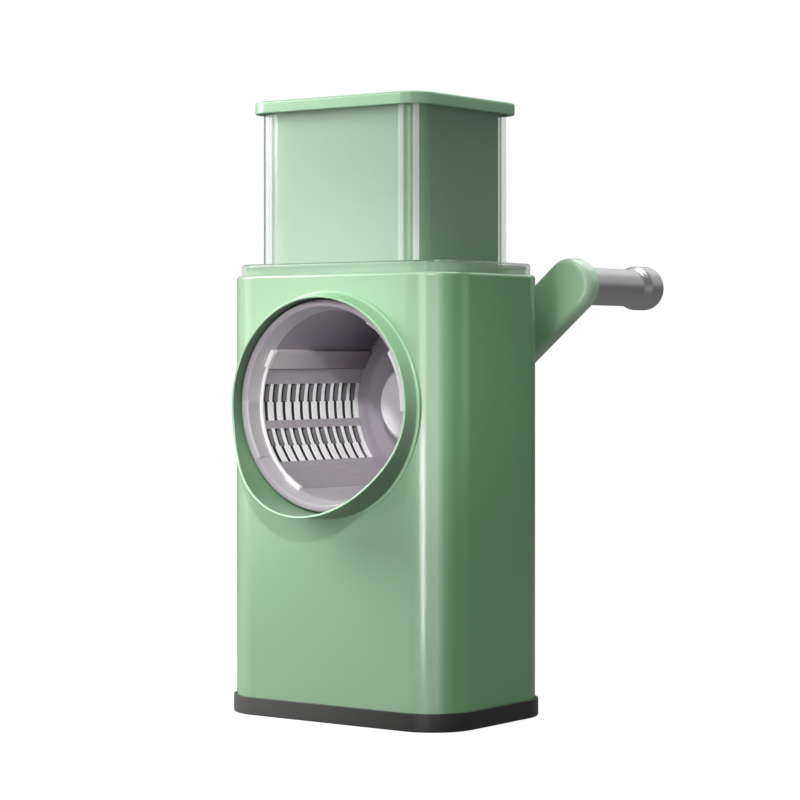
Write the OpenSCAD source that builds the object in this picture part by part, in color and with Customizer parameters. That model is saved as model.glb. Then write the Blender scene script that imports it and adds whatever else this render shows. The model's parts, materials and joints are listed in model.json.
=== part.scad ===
// Hand-cranked drum vegetable cutter with a clear hopper, a pusher and a round outlet.
// Origin at the centre of the base underside, +Z up, outlet towards -Y, crank towards +Y.

/* [Base] */
// Width of the base, side to side
base_w = 135; // [128:1:150]
// Depth of the base, front to back
base_d = 92; // [88:1:100]
// Corner radius of the base, seen from above
base_r = 23; // [16:0.5:27]
// Height of the base band under the housing
base_h = 8.4; // [6:0.2:12]
// Thickness of the base floor
base_floor = 2.6; // [2.2:0.1:3.4]
// How far the base stands proud of the housing all round
base_lip = 1.5; // [1.2:0.1:2.5]
// Width of the suction groove under the base
groove_w = 3.5; // [2:0.5:6]
// Depth of the suction groove under the base
groove_depth = 1; // [0.6:0.1:1.4]
// Distance of the suction groove from the edge of the base
groove_inset = 4.5; // [3:0.5:7]
// Thickness of the plate inside the base
plate_t = 3; // [2:0.5:5]

/* [Housing] */
// Height of the hopper flange's top above the table
shoulder_h = 213; // [206:1:225]
// Wall thickness of the housing
body_wall = 2.4; // [1.8:0.1:3]
// Radius of the housing's top edge
body_edge_r = 1.6; // [0.8:0.1:2.2]
// Height of the drum axis above the table
axis_z = 146.5; // [143:0.5:149]

/* [Outlet sleeve] */
// Wall thickness of the sleeve round the drum
sleeve_wall = 2.2; // [1.6:0.1:3]
// Wall thickness of the collar at its rim
rim_wall = 1.2; // [1:0.1:1.6]
// How far the collar's rim stands out of the housing
rim_proud = 8.4; // [5:0.1:12]
// Slope of the spout, where the rim runs further out below the axis
spout_angle = 22.4; // [0:0.2:30]
// How far below the axis the spout starts
spout_drop = 15; // [5:0.5:25]
// Width of the flare where the collar meets the housing
flare_w = 1.4; // [1:0.1:2.5]
// Radius of the circle that the sleeve screws lie on
sleeve_screw_ring = 26; // [24:0.5:28]

/* [Hopper] */
// Width of the hopper tube
hopper_w = 96; // [88:1:100]
// Distance from the hopper tube to the housing's front and back
hopper_margin = 5; // [4.6:0.1:9]
// Corner radius of the hopper tube
hopper_r = 11; // [9:0.5:14]
// Wall thickness of the hopper
hopper_wall = 2.3; // [1.8:0.1:2.8]
// Height of the flange that rests on the housing
flange_h = 5.4; // [4:0.1:7]
// How far the flange stays inside the housing's outline
flange_inset = 2.3; // [1:0.1:4]

/* [Pusher] */
// Height of the pusher's top above the hopper flange
upper_h = 76.8; // [66:0.2:90]
// How far the pusher's cap stands out over the hopper all round
cap_proud = 3; // [2.5:0.1:4]
// Corner radius of the pusher's cap
cap_r = 11.5; // [10:0.5:18]
// Height of the pusher's cap
cap_h = 5.7; // [5:0.1:8]
// Width of the cap's rim that turns down over the hopper
cap_rim = 2.2; // [1.6:0.1:2.4]
// Depth of the recess inside the cap's rim
cap_recess = 3.2; // [2.4:0.1:3.6]
// Wall thickness of the pusher's block
block_wall = 2.2; // [1.6:0.1:3]
// Gap between the pusher's block and the hopper wall
block_gap = 1.5; // [0.6:0.1:2]

/* [Drum] */
// Outer radius of the drum's front ring
drum_r = 49.2; // [48.4:0.1:49.6]
// Length of the drum's front ring
ring_len = 10; // [7:0.5:12]
// Wall thickness of the drum's front ring
ring_wall = 3.4; // [3:0.1:3.8]
// How far the front ring stands in front of the housing
ring_proud = 3.6; // [2:0.1:4.4]
// Step from the front ring down to the slotted wall
ring_step = 2.2; // [1.8:0.1:2.6]
// Wall thickness of the drum's frame
frame_wall = 1.8; // [1.4:0.1:2]
// Thickness of the steel cutting sheets
sheet_t = 0.7; // [0.5:0.1:0.9]
// Slots in one row of a cutting sheet
slot_count = 11; // [6:1:11]
// Width of a slot
slot_w = 3; // [1.8:0.1:3.2]
// Sideways step halfway along each slot
slot_step = 1; // [0.4:0.1:1.2]
// Height of the cutting teeth above the sheet
tooth_h = 1.4; // [0.8:0.1:1.6]

/* [Crank] */
// Distance from the drum axis to the grip's axis
crank_r = 87.2; // [75:0.1:105]
// Angle of the arm above the horizontal at rest
crank_angle = 40.6; // [0:0.1:90]
// Width of the crank arm
arm_w = 26; // [22:0.5:30]
// Thickness of the crank arm
arm_t = 11.8; // [10.8:0.1:14]
// Rounding of the crank arm's edges
arm_edge_r = 3.4; // [1.5:0.1:4]
// Gap between the housing's back and the arm's plate
arm_gap = 11.2; // [6:0.1:14]
// Radius of the drive shaft's journal
journal_r = 5; // [4.5:0.1:5.5]
// Radius of the grip
grip_r = 9.1; // [8:0.1:10.4]
// Radius of the grip's flared end
grip_end_r = 10.9; // [10.5:0.1:12.5]
// Length of the grip
grip_len = 63; // [50:0.5:90]

/* [Hidden] */
$fn = 96;

green = [0.62, 0.79, 0.65];
clear_plastic = [0.88, 0.93, 0.92, 0.35];
boot_black = [0.12, 0.11, 0.12];
drum_grey = [0.66, 0.64, 0.67];
steel = [0.74, 0.74, 0.76];
grip_silver = [0.6, 0.6, 0.61];
bearing_white = [0.9, 0.9, 0.86];

// Clearances: a running fit, a seated piece, a piece that slides in, and a cutter's overshoot
run_fit = 0.05;
seat_gap = 0.1;
slip_gap = 0.3;
over = 1;

// Housing outline, set inside the base by its lip
body_w = base_w - 2 * base_lip;
body_d = base_d - 2 * base_lip;
body_r = base_r - base_lip;
body_front = body_d / 2;
inner_front = body_front - body_wall;
body_low = base_floor + slip_gap;
body_top = shoulder_h - flange_h;
in_w = body_w - 2 * body_wall;
in_d = body_d - 2 * body_wall;
in_r = body_r - body_wall;
hopper_d = body_d - 2 * hopper_margin;
cap_w = hopper_w + 2 * cap_proud;
cap_d = hopper_d + 2 * cap_proud;

// Base screws stand in posts that ribs join to the housing's corners
post_r = 4.5;
post_inset = 12;
post_x = body_w / 2 - post_inset;
post_y = body_d / 2 - post_inset - over;
post_h = 15;
rib_t = 2;
plate_gap = 0.4;
plate_low = base_floor + seat_gap;
plate_top = plate_low + plate_t;
screw_r = 1.6;
screw_head_r = 3.2;
screw_head_h = 1.5;
screw_len = 12;
head_pocket_r = screw_head_r + slip_gap;
head_pocket_h = screw_head_h + slip_gap;

// Sleeve round the drum, its back end clear of the housing's round corners
drum_run = 0.6;
sleeve_in_r = drum_r + drum_run;
sleeve_out_r = sleeve_in_r + sleeve_wall;
back_gap = 0.5;
corner_x = in_w / 2 - in_r;
corner_y = in_d / 2 - in_r;
corner_reach = max(sleeve_out_r + slip_gap - corner_x, 0);
corner_depth = corner_y + sqrt(in_r * in_r - corner_reach * corner_reach);
sleeve_back = max(back_gap - inner_front, seat_gap - corner_depth);
back_wall_t = 1.4;
back_inner = sleeve_back + back_wall_t;
rim_front = body_front + rim_proud;
spout_reach = (sleeve_out_r - spout_drop) * tan(spout_angle);
spout_blend = 60;
spout_steps = 8;
feed_gap = 0.6;
feed_w = hopper_w - 2 * hopper_wall + 2 * feed_gap;
feed_d = hopper_d - 2 * hopper_wall + 2 * feed_gap;

// Screw cups in the sleeve's back wall, with the housing's bosses inside them
cup_r = 6;
cup_wall = 2;
cup_depth = 4;
cup_floor = back_inner + cup_depth;
cup_floor_t = 2;
boss_r = cup_r - cup_wall;
boss_top = cup_floor - cup_floor_t - slip_gap;
small_screw_r = 1.2;
small_head_r = 2.8;
small_head_h = 1.8;
small_screw_len = 5;

// Drum
frame_r = drum_r - ring_step;
sheet_out_r = frame_r - frame_wall - seat_gap;
bore_r = sheet_out_r - sheet_t;
ring_in_r = drum_r - ring_wall;
ring_front = body_front + ring_proud;
ring_back = ring_front - ring_len;
end_run = 0.4;
drum_end = back_inner + end_run;
rim_plate_t = 1;
wall_back = drum_end + rim_plate_t;
rear_ring_t = 0.8;
sheet_back = wall_back + rear_ring_t;
spans = 2;
span_angle = 360 / spans;
// Angles of the features of one span, counted up from the right seen from the front
bar_from_angle = 144;
sheet_from_angle = 158;
window_to_angle = 222;
sheet_to_angle = 242;
row_start_angles = [167.5, 195];
row_angle = 22.5;
window_rim = 0.8;
window_front_rim = 2;
window_rim_angle = 2;
seam_angle = 0.3;
bar_angle_gap = 1;
bar_rise = 1.4;
lip_step = 0.4;
lip_rise = 1.3;
lip_t = 1.2;
lip_from_angle = 147;
lip_to_angle = 241;
tab_angles = [[144.5, 156], [230, 243]];
tab_rise = 2;
tab_t = 2.7;
lug_from_angle = 177;
lug_to_angle = 213.5;
lug_rise = 1.4;
lug_wall = 2.4;
lug_back = 2;
lug_proud = 0.5;
slot_margin = 2.4;
slots_front = ring_back - slot_margin;
tooth_gap = 0.4;
slots_back = sheet_back + window_rim + seat_gap;
slot_pitch = (slots_front + slot_w / 2 + tooth_gap - slots_back) / slot_count;
tooth_len = slot_pitch - slot_w - slot_step - tooth_gap;
tooth_land = 0.5;

// Hub and cone at the back of the drum
nose_h = 19;
nose_front = drum_end + nose_h;
nose_r = 12.5;
nose_flat_w = 2;
nose_flat_h = 1.4;
cone_foot_w = 3;
hub_r = 9.5;
cone_t = 2.2;
clip_t = 1;
bush_flange_t = 1;
bush_flange_r = 9;
bush_r = journal_r + 2;
bush_bore_r = journal_r + run_fit;
sleeve_boss_r = 11;
sleeve_boss_front = back_inner + 2.2;
flange_front = sleeve_boss_front + bush_flange_t;
clip_back = flange_front + slip_gap;
clip_front = clip_back + clip_t;
hub_end = clip_front + slip_gap;
hex_r = 4.6;
hex_len = 12;
groove_r = journal_r - 0.8;
clip_r = journal_r + 2.2;

// Crank, measured back from the housing's rear face
rear = -body_front;
bush_end = rear - 0.3;
washer_t = 1;
washer_front = bush_end - seat_gap;
washer_back = washer_front - washer_t;
washer_r = 12;
hub_front = washer_back - slip_gap;
arm_front = rear - arm_gap;
arm_back = arm_front - arm_t;
arm_hub_r = arm_w / 2;
square_r = journal_r - 0.2;
arm_floor_t = 2.5;
cap_pocket_h = 4.4;
cap_pocket_r = 8;
pocket_floor = arm_back + cap_pocket_h;
square_end = pocket_floor + arm_floor_t;
arm_cap_t = 1.6;
arm_screw_r = 2;
arm_head_r = 4.2;
arm_head_h = 2.2;
arm_screw_len = 10;

// Grip, measured along its pin from the arm's rear face
pin_r = 3.5;
pin_root_r = 2.8;
pin_root_len = 9;
pin_head_r = 5.4;
pin_head_h = 2.2;
grip_washer_t = 0.8;
grip_washer_r = 7.5;
grip_low = grip_washer_t + seat_gap + slip_gap;
grip_top = grip_low + grip_len;
flare_len = 18;
end_round_r = 4.5;
end_pocket_r = 6;
end_pocket_h = 6;
end_cap_t = 2;
grip_floor = grip_top - end_pocket_h;

// Pusher
pusher_top = shoulder_h + upper_h;
cap_low = pusher_top - cap_h;
cap_ceiling = cap_low + cap_recess;
hopper_top = cap_ceiling - slip_gap;
block_w = hopper_w - 2 * hopper_wall - 2 * block_gap;
block_d = hopper_d - 2 * hopper_wall - 2 * block_gap;
block_r = hopper_r - hopper_wall - block_gap + 0.3;
arch_gap = 2.6;
arch_r = drum_r + arch_gap;
cap_edge_r = 1.3;
spigot_h = 3;
spigot_wall = 1.6;

// Outline of a rectangle with round corners
module round_rect(w, d, r) {
    square([w - 2 * r, d], center = true);
    square([w, d - 2 * r], center = true);
    for (x = [-1, 1]) for (y = [-1, 1])
        translate([x * (w / 2 - r), y * (d / 2 - r)]) circle(r = r);
}

// Upright block with round corners
module prism(w, d, r, low, high) {
    translate([0, 0, low]) linear_extrude(high - low) round_rect(w, d, r);
}

// Side view of a slab whose long edges are rounded
module edge_profile(w, h, top, bottom) {
    translate([-w / 2, bottom]) square([w, h - top - bottom]);
    translate([top - w / 2, h / 2]) square([w - 2 * top, h / 2]);
    translate([bottom - w / 2, 0]) square([w - 2 * bottom, h / 2]);
    for (side = [-1, 1]) {
        if (top > 0) translate([side * (w / 2 - top), h - top]) circle(r = top);
        if (bottom > 0) translate([side * (w / 2 - bottom), bottom]) circle(r = bottom);
    }
}

// Round disc with the same edges
module soft_disc(r, h, top, bottom) {
    rotate_extrude() intersection() {
        edge_profile(2 * r, h, top, bottom);
        translate([0, -over]) square([r + over, h + 2 * over]);
    }
}

// Upright block with round corners and rounded edges
module soft_slab(w, d, r, low, high, top, bottom) {
    h = high - low;
    translate([0, 0, low]) {
        for (x = [-1, 1]) for (y = [-1, 1])
            translate([x * (w / 2 - r), y * (d / 2 - r), 0]) soft_disc(r, h, top, bottom);
        translate([0, d / 2 - r, 0]) rotate([90, 0, 0])
            linear_extrude(d - 2 * r) edge_profile(w, h, top, bottom);
        translate([r - w / 2, 0, 0]) rotate([90, 0, 90])
            linear_extrude(w - 2 * r) edge_profile(d, h, top, bottom);
    }
}

// Places a shape drawn round Z on the drum axis, with its +Z out of the front
module on_axis() {
    translate([0, 0, axis_z]) rotate([90, 0, 0]) children();
}

// Places a shape on the grip's axis, with its +Z towards the back
module on_grip() {
    translate([crank_r * cos(crank_angle), -arm_back, axis_z + crank_r * sin(crank_angle)])
        rotate([-90, 0, 0]) children();
}

// Wedge of a circle between two angles that are less than a half turn apart
module wedge(from, to, r, low, high) {
    mid = (from + to) / 2;
    reach = r / cos((to - from) / 4);
    translate([0, 0, low]) linear_extrude(high - low)
        polygon([[0, 0], [reach * cos(from), reach * sin(from)],
                 [reach * cos(mid), reach * sin(mid)], [reach * cos(to), reach * sin(to)]]);
}

// Part of a tube between two angles
module tube_sector(r_out, r_in, from, to, low, high) {
    intersection() {
        difference() {
            translate([0, 0, low]) cylinder(r = r_out, h = high - low);
            translate([0, 0, low - over]) cylinder(r = r_in, h = high - low + 2 * over);
        }
        wedge(from, to, r_out + over, low - over, high + over);
    }
}

// Straight shank with a flat head on top of it, head above z = 0
module screw(shank_r, shank_l, head_r, head_h) {
    translate([0, 0, -shank_l]) cylinder(r = shank_r, h = shank_l + head_h / 2);
    cylinder(r = head_r, h = head_h);
}

module at_base_screws() {
    for (x = [-1, 1]) for (y = [-1, 1]) translate([x * post_x, y * post_y, 0]) children();
}

module at_sleeve_screws() {
    for (turn = [90, 210, 330]) rotate(turn) translate([sleeve_screw_ring, 0, 0]) children();
}

module base_boot() {
    color(boot_black) difference() {
        soft_slab(base_w, base_d, base_r, 0, base_h, 0.4, 0.8);
        prism(body_w + 2 * slip_gap, body_d + 2 * slip_gap, body_r + slip_gap,
              base_floor, base_h + over);
        difference() {
            prism(base_w - 2 * groove_inset, base_d - 2 * groove_inset, base_r - groove_inset,
                  -over, groove_depth);
            prism(base_w - 2 * (groove_inset + groove_w), base_d - 2 * (groove_inset + groove_w),
                  base_r - groove_inset - groove_w, -2 * over, groove_depth + over);
        }
        at_base_screws() {
            translate([0, 0, -over]) cylinder(r = head_pocket_r, h = head_pocket_h + over);
            cylinder(r = screw_r + slip_gap, h = base_floor + over);
        }
    }
}

module base_plate() {
    color(boot_black) difference() {
        prism(in_w - 2 * plate_gap, in_d - 2 * plate_gap, in_r - plate_gap, plate_low, plate_top);
        at_base_screws() translate([0, 0, plate_low - over])
            cylinder(r = screw_r + slip_gap, h = plate_t + 2 * over);
    }
}

module base_screws() {
    color(steel) at_base_screws() translate([0, 0, head_pocket_h - seat_gap]) mirror([0, 0, 1])
        screw(screw_r, screw_len, screw_head_r, screw_head_h);
}

module screw_post(x, y) {
    low = plate_top + slip_gap;
    reach = in_w / 2 - post_x + body_wall / 2;
    translate([x * post_x, y * post_y, low]) {
        cylinder(r = post_r, h = post_h);
        translate([x > 0 ? 0 : -reach, -rib_t / 2, 0]) cube([reach, rib_t, post_h]);
        translate([-rib_t / 2, y > 0 ? 0 : -reach, 0]) cube([rib_t, reach, post_h]);
    }
}

module housing() {
    color(green) difference() {
        union() {
            difference() {
                soft_slab(body_w, body_d, body_r, body_low, body_top, body_edge_r, 0);
                prism(in_w, in_d, in_r, body_low - over, body_top - body_wall);
            }
            for (x = [-1, 1]) for (y = [-1, 1]) screw_post(x, y);
            on_axis() at_sleeve_screws()
                translate([0, 0, -body_front + body_wall / 2])
                    cylinder(r = boss_r, h = boss_top + body_front - body_wall / 2);
        }
        prism(hopper_w + 2 * slip_gap, hopper_d + 2 * slip_gap, hopper_r + slip_gap,
              body_top - 2 * body_wall, body_top + over);
        on_axis() {
            translate([0, 0, body_front - body_r])
                cylinder(r = sleeve_out_r + slip_gap, h = body_r + over);
            translate([0, 0, -body_front - over])
                cylinder(r = bush_r + seat_gap, h = body_wall + 2 * over);
            at_sleeve_screws() translate([0, 0, boss_top - small_screw_len])
                cylinder(r = small_screw_r + run_fit, h = small_screw_len + over);
        }
        at_base_screws() translate([0, 0, plate_top])
            cylinder(r = screw_r + run_fit, h = screw_len - plate_t + over);
    }
}

// Half section of the sleeve: a straight tube, a flare on the housing and a thinner rim
module sleeve_section() {
    rim_far = rim_front + spout_reach + over;
    difference() {
        union() {
            translate([sleeve_in_r, sleeve_back])
                square([sleeve_wall, body_front - sleeve_back + over]);
            translate([sleeve_in_r, body_front + seat_gap])
                square([sleeve_wall + flare_w - 0.1, flare_w]);
            polygon([[sleeve_in_r, body_front], [sleeve_in_r + sleeve_wall, body_front],
                     [sleeve_in_r + rim_wall, rim_far], [sleeve_in_r, rim_far]]);
        }
        translate([sleeve_out_r + flare_w, body_front + seat_gap + flare_w + 0.4])
            circle(r = flare_w);
    }
}

// Side view of the space in front of the rim: straight down, then sloping out over the spout
module in_front_of_rim(far) {
    bend_top = spout_blend * tan(spout_angle / 2) - spout_drop;
    bend = [for (i = [0:spout_steps]) let (turn = spout_angle * i / spout_steps)
        [bend_top - spout_blend * sin(turn), rim_front + spout_blend * (1 - cos(turn))]];
    polygon(concat([[far, rim_front]], bend,
                   [[-spout_drop - far, rim_front + far * tan(spout_angle)],
                    [-spout_drop - far, rim_front + 3 * far], [far, rim_front + 3 * far]]));
}

module drum_sleeve() {
    far = 2 * sleeve_out_r;
    color(green) on_axis() difference() {
        union() {
            rotate_extrude() sleeve_section();
            translate([0, 0, sleeve_back]) cylinder(r = sleeve_in_r + over, h = back_wall_t);
            translate([0, 0, sleeve_back])
                cylinder(r = sleeve_boss_r, h = sleeve_boss_front - sleeve_back);
            at_sleeve_screws() translate([0, 0, sleeve_back])
                cylinder(r = cup_r, h = cup_floor - sleeve_back);
        }
        translate([-far / 2, 0, 0]) rotate([90, 0, 90]) linear_extrude(far) in_front_of_rim(far);
        translate([-feed_w / 2, 0, -feed_d / 2]) cube([feed_w, sleeve_out_r + over, feed_d]);
        translate([0, 0, sleeve_back - over])
            cylinder(r = bush_r + seat_gap, h = sleeve_boss_front - sleeve_back + 2 * over);
        at_sleeve_screws() {
            translate([0, 0, sleeve_back - over])
                cylinder(r = boss_r + slip_gap, h = cup_floor - cup_floor_t - sleeve_back + over);
            translate([0, 0, sleeve_back])
                cylinder(r = small_screw_r + slip_gap, h = cup_floor - sleeve_back + over);
        }
    }
}

module sleeve_screws() {
    color(steel) on_axis() at_sleeve_screws() translate([0, 0, cup_floor + run_fit])
        screw(small_screw_r, small_screw_len, small_head_r, small_head_h);
}

module shaft_bushing() {
    color(bearing_white) on_axis() difference() {
        union() {
            translate([0, 0, bush_end]) cylinder(r = bush_r, h = flange_front - bush_end);
            translate([0, 0, sleeve_boss_front + run_fit])
                cylinder(r = bush_flange_r, h = bush_flange_t - run_fit);
        }
        translate([0, 0, bush_end - over])
            cylinder(r = bush_bore_r, h = flange_front - bush_end + 2 * over);
    }
}

module hopper() {
    flange_w = body_w - 2 * flange_inset;
    flange_d = body_d - 2 * flange_inset;
    flange_r = body_r - flange_inset;
    color(clear_plastic) difference() {
        union() {
            prism(hopper_w, hopper_d, hopper_r, axis_z, hopper_top);
            difference() {
                soft_slab(flange_w, flange_d, flange_r, body_top + run_fit, shoulder_h, 1.2, 0);
                prism(flange_w - 2 * hopper_wall, flange_d - 2 * hopper_wall,
                      flange_r - hopper_wall, body_top - over, shoulder_h - hopper_wall);
            }
        }
        prism(hopper_w - 2 * hopper_wall, hopper_d - 2 * hopper_wall, hopper_r - hopper_wall,
              axis_z - over, hopper_top + over);
        on_axis() translate([0, 0, -body_d]) cylinder(r = sleeve_out_r + slip_gap, h = 2 * body_d);
    }
}

module pusher_block() {
    color(green) difference() {
        prism(block_w, block_d, block_r, axis_z, cap_ceiling - run_fit);
        on_axis() translate([0, 0, -body_d]) cylinder(r = arch_r, h = 2 * body_d);
        difference() {
            prism(block_w - 2 * block_wall, block_d - 2 * block_wall, block_r - block_wall,
                  axis_z - over, cap_ceiling + over);
            on_axis() translate([0, 0, -body_d])
                cylinder(r = arch_r + block_wall, h = 2 * body_d);
        }
    }
}

module pusher_cap() {
    spigot_w = block_w - 2 * block_wall - 2 * seat_gap;
    spigot_d = block_d - 2 * block_wall - 2 * seat_gap;
    spigot_r = block_r - block_wall - seat_gap;
    color(green) union() {
        difference() {
            soft_slab(cap_w, cap_d, cap_r, cap_low, pusher_top, cap_edge_r, 0.5);
            prism(cap_w - 2 * cap_rim, cap_d - 2 * cap_rim, cap_r - cap_rim,
                  cap_low - over, cap_ceiling);
        }
        difference() {
            prism(spigot_w, spigot_d, spigot_r, cap_ceiling - spigot_h, cap_ceiling + over);
            prism(spigot_w - 2 * spigot_wall, spigot_d - 2 * spigot_wall, spigot_r - spigot_wall,
                  cap_ceiling - spigot_h - over, cap_ceiling);
        }
    }
}

// Half section of the drum's frame: front ring, step, long wall and the lip inside the ring
module frame_section() {
    wall_in = frame_r - frame_wall;
    translate([ring_in_r, ring_back]) square([ring_wall, ring_len]);
    translate([wall_in, wall_back]) square([frame_wall, ring_back - wall_back + lip_t]);
    translate([bore_r - lip_step, ring_back]) square([wall_in - bore_r + lip_step + over, lip_t]);
}

module drum_frame() {
    color(drum_grey) on_axis() {
        difference() {
            rotate_extrude() frame_section();
            for (turn = [0:spans - 1]) rotate(turn * span_angle)
                wedge(sheet_from_angle + window_rim_angle, window_to_angle, drum_r,
                      sheet_back + window_rim, ring_back - window_front_rim);
        }
        for (turn = [0:spans - 1]) rotate(turn * span_angle) {
            tube_sector(frame_r - frame_wall / 2, bore_r, sheet_to_angle - span_angle + seam_angle,
                        sheet_from_angle - seam_angle, sheet_back, ring_back + lip_t / 2);
            tube_sector(frame_r - frame_wall / 3, bore_r - bar_rise, bar_from_angle,
                        sheet_from_angle - bar_angle_gap, sheet_back + window_rim,
                        ring_back + lip_t / 3);
            tube_sector(ring_in_r, bore_r - lip_rise, lip_from_angle, lip_to_angle,
                        ring_back + 0.1, ring_back + lip_t - 0.1);
            for (tab = tab_angles)
                tube_sector(ring_in_r + ring_wall / 3, bore_r - tab_rise, tab[0], tab[1],
                            ring_back + lip_t / 4, ring_back + tab_t);
            tube_sector(ring_in_r + lug_wall, ring_in_r - lug_rise, lug_from_angle, lug_to_angle,
                        ring_back + lug_back, ring_front + lug_proud);
        }
    }
}

// Half section of all slots in a row, cut radially through the sheet
module slot_row(shift) {
    rotate_extrude() for (i = [0:slot_count - 1])
        translate([bore_r - over, slots_front - i * slot_pitch - slot_w / 2 - shift])
            square([sheet_t + tooth_h + 2 * over, slot_w]);
}

// Half section of the teeth that stand up behind the slots, outside the sheet
module tooth_row(shift) {
    edge = slot_w / 2 + shift;
    rotate_extrude() for (i = [0:slot_count - 1])
        translate([0, slots_front - i * slot_pitch - edge])
            polygon([[sheet_out_r - sheet_t / 2, 0], [sheet_out_r + tooth_h, 0],
                     [sheet_out_r + tooth_h, -tooth_land], [sheet_out_r, -tooth_len],
                     [sheet_out_r - sheet_t / 2, -tooth_len]]);
}

module cutting_sheet() {
    half = row_angle / 2;
    low = sheet_back - over;
    high = ring_back + over;
    difference() {
        tube_sector(sheet_out_r, bore_r, sheet_from_angle, sheet_to_angle, sheet_back + seat_gap,
                    ring_back - seat_gap - 0.1);
        for (start = row_start_angles) for (part = [0, 1]) intersection() {
            slot_row(part * slot_step);
            wedge(start + part * half, start + (part + 1) * half, drum_r, low, high);
        }
    }
    for (start = row_start_angles) for (part = [0, 1]) intersection() {
        tooth_row(part * slot_step);
        wedge(start + part * half, start + (part + 1) * half, drum_r, low, high);
    }
}

module cutting_sheets() {
    color(steel) on_axis() for (turn = [0:spans - 1]) rotate(turn * span_angle) cutting_sheet();
}

module drum_back() {
    cone_r = bore_r - seat_gap;
    back_r = cone_r - cone_foot_w;
    color(drum_grey) on_axis() difference() {
        rotate_extrude() polygon([
            [0, nose_front], [nose_r, nose_front], [nose_r + nose_flat_w, nose_front - nose_flat_h],
            [cone_r, sheet_back], [cone_r, wall_back - seat_gap],
            [frame_r, wall_back - seat_gap], [frame_r, drum_end], [back_r, drum_end],
            [hub_r, nose_front - cone_t],
            [hub_r, hub_end], [0, hub_end]]);
        translate([0, 0, hub_end - over]) cylinder(r = hex_r + seat_gap, h = hex_len + over, $fn = 6);
    }
}

module drive_shaft() {
    color(steel) on_axis() difference() {
        union() {
            translate([0, 0, hub_front + slip_gap])
                cylinder(r = journal_r, h = clip_front - hub_front);
            translate([0, 0, clip_front]) cylinder(r = hex_r, h = hex_len - 0.4, $fn = 6);
            rotate(crank_angle) translate([0, 0, square_end + slip_gap])
                cylinder(r = square_r, h = hub_front - square_end + over, $fn = 4);
        }
        difference() {
            translate([0, 0, clip_back]) cylinder(r = journal_r + over, h = clip_t);
            translate([0, 0, clip_back - over]) cylinder(r = groove_r, h = clip_t + 2 * over);
        }
        translate([0, 0, square_end - over])
            cylinder(r = arm_screw_r + run_fit, h = arm_screw_len + over);
    }
}

module shaft_clip() {
    inset = run_fit;
    color(steel) on_axis() translate([0, 0, clip_back + inset]) difference() {
        cylinder(r = clip_r, h = clip_t - 2 * inset);
        translate([0, 0, -over]) cylinder(r = groove_r + run_fit, h = clip_t + 2 * over);
        translate([-clip_r, -groove_r * 0.7, -over])
            cube([clip_r, groove_r * 1.4, clip_t + 2 * over]);
    }
}

module thrust_washer() {
    color(bearing_white) on_axis() translate([0, 0, washer_back]) difference() {
        cylinder(r = washer_r, h = washer_t);
        translate([0, 0, -over]) cylinder(r = bush_bore_r, h = washer_t + 2 * over);
    }
}

// Arm plate with rounded edges, its hub boss at the origin and its tip along +X
module arm_plate() {
    r = arm_w / 2;
    soft_disc(r, arm_t, arm_edge_r, arm_edge_r);
    translate([crank_r, 0, 0]) soft_disc(r, arm_t, arm_edge_r, arm_edge_r);
    rotate([90, 0, 90]) linear_extrude(crank_r) edge_profile(arm_w, arm_t, arm_edge_r, arm_edge_r);
    translate([0, 0, arm_t / 2]) cylinder(r = arm_hub_r, h = hub_front - arm_back - arm_t / 2);
}

module crank_arm() {
    color(green) on_axis() rotate(crank_angle) difference() {
        translate([0, 0, arm_back]) arm_plate();
        translate([0, 0, square_end])
            cylinder(r = square_r + run_fit, h = hub_front - square_end + over, $fn = 4);
        translate([0, 0, arm_back - over])
            cylinder(r = cap_pocket_r, h = cap_pocket_h + over);
        translate([0, 0, pocket_floor - over])
            cylinder(r = arm_screw_r + slip_gap, h = arm_floor_t + 2 * over);
        translate([crank_r, 0, arm_back - over])
            cylinder(r = pin_root_r + run_fit, h = pin_root_len + over);
    }
}

module arm_screw() {
    color(steel) on_axis() translate([0, 0, pocket_floor - seat_gap]) mirror([0, 0, 1])
        screw(arm_screw_r, arm_screw_len, arm_head_r, arm_head_h);
}

module arm_cap() {
    color(green) on_axis() translate([0, 0, arm_back + arm_cap_t + seat_gap]) mirror([0, 0, 1])
        soft_disc(cap_pocket_r - seat_gap, arm_cap_t, 0.5, 0);
}

module grip_pin() {
    color(steel) on_grip() {
        translate([0, 0, -pin_root_len + slip_gap]) cylinder(r = pin_root_r, h = pin_root_len);
        cylinder(r = pin_r, h = grip_floor + slip_gap);
        translate([0, 0, grip_floor + slip_gap]) cylinder(r = pin_head_r, h = pin_head_h);
    }
}

module grip_washer() {
    color(bearing_white) on_grip() translate([0, 0, seat_gap]) difference() {
        cylinder(r = grip_washer_r, h = grip_washer_t);
        translate([0, 0, -over]) cylinder(r = pin_r + run_fit, h = grip_washer_t + 2 * over);
    }
}

// Half section of the grip: a straight barrel that swells into a rounded knob
module grip_section() {
    neck = grip_top - flare_len;
    blend = 5;
    translate([0, grip_low + 0.8]) square([grip_r, neck - grip_low]);
    translate([0, grip_low]) square([grip_r - 0.8, grip_len / 2]);
    polygon([[0, neck], [grip_r, neck], [grip_end_r, neck + blend],
             [grip_end_r, grip_top - end_round_r], [0, grip_top - end_round_r]]);
    translate([0, neck]) square([grip_end_r - end_round_r, flare_len]);
    translate([grip_end_r - end_round_r, grip_top - end_round_r]) circle(r = end_round_r);
}

module handle_grip() {
    color(grip_silver) on_grip() difference() {
        rotate_extrude() intersection() {
            grip_section();
            square([2 * grip_end_r, 2 * grip_len]);
        }
        translate([0, 0, grip_low - over]) cylinder(r = pin_r + run_fit, h = grip_len + over);
        translate([0, 0, grip_floor]) cylinder(r = end_pocket_r, h = end_pocket_h + over);
    }
}

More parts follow.
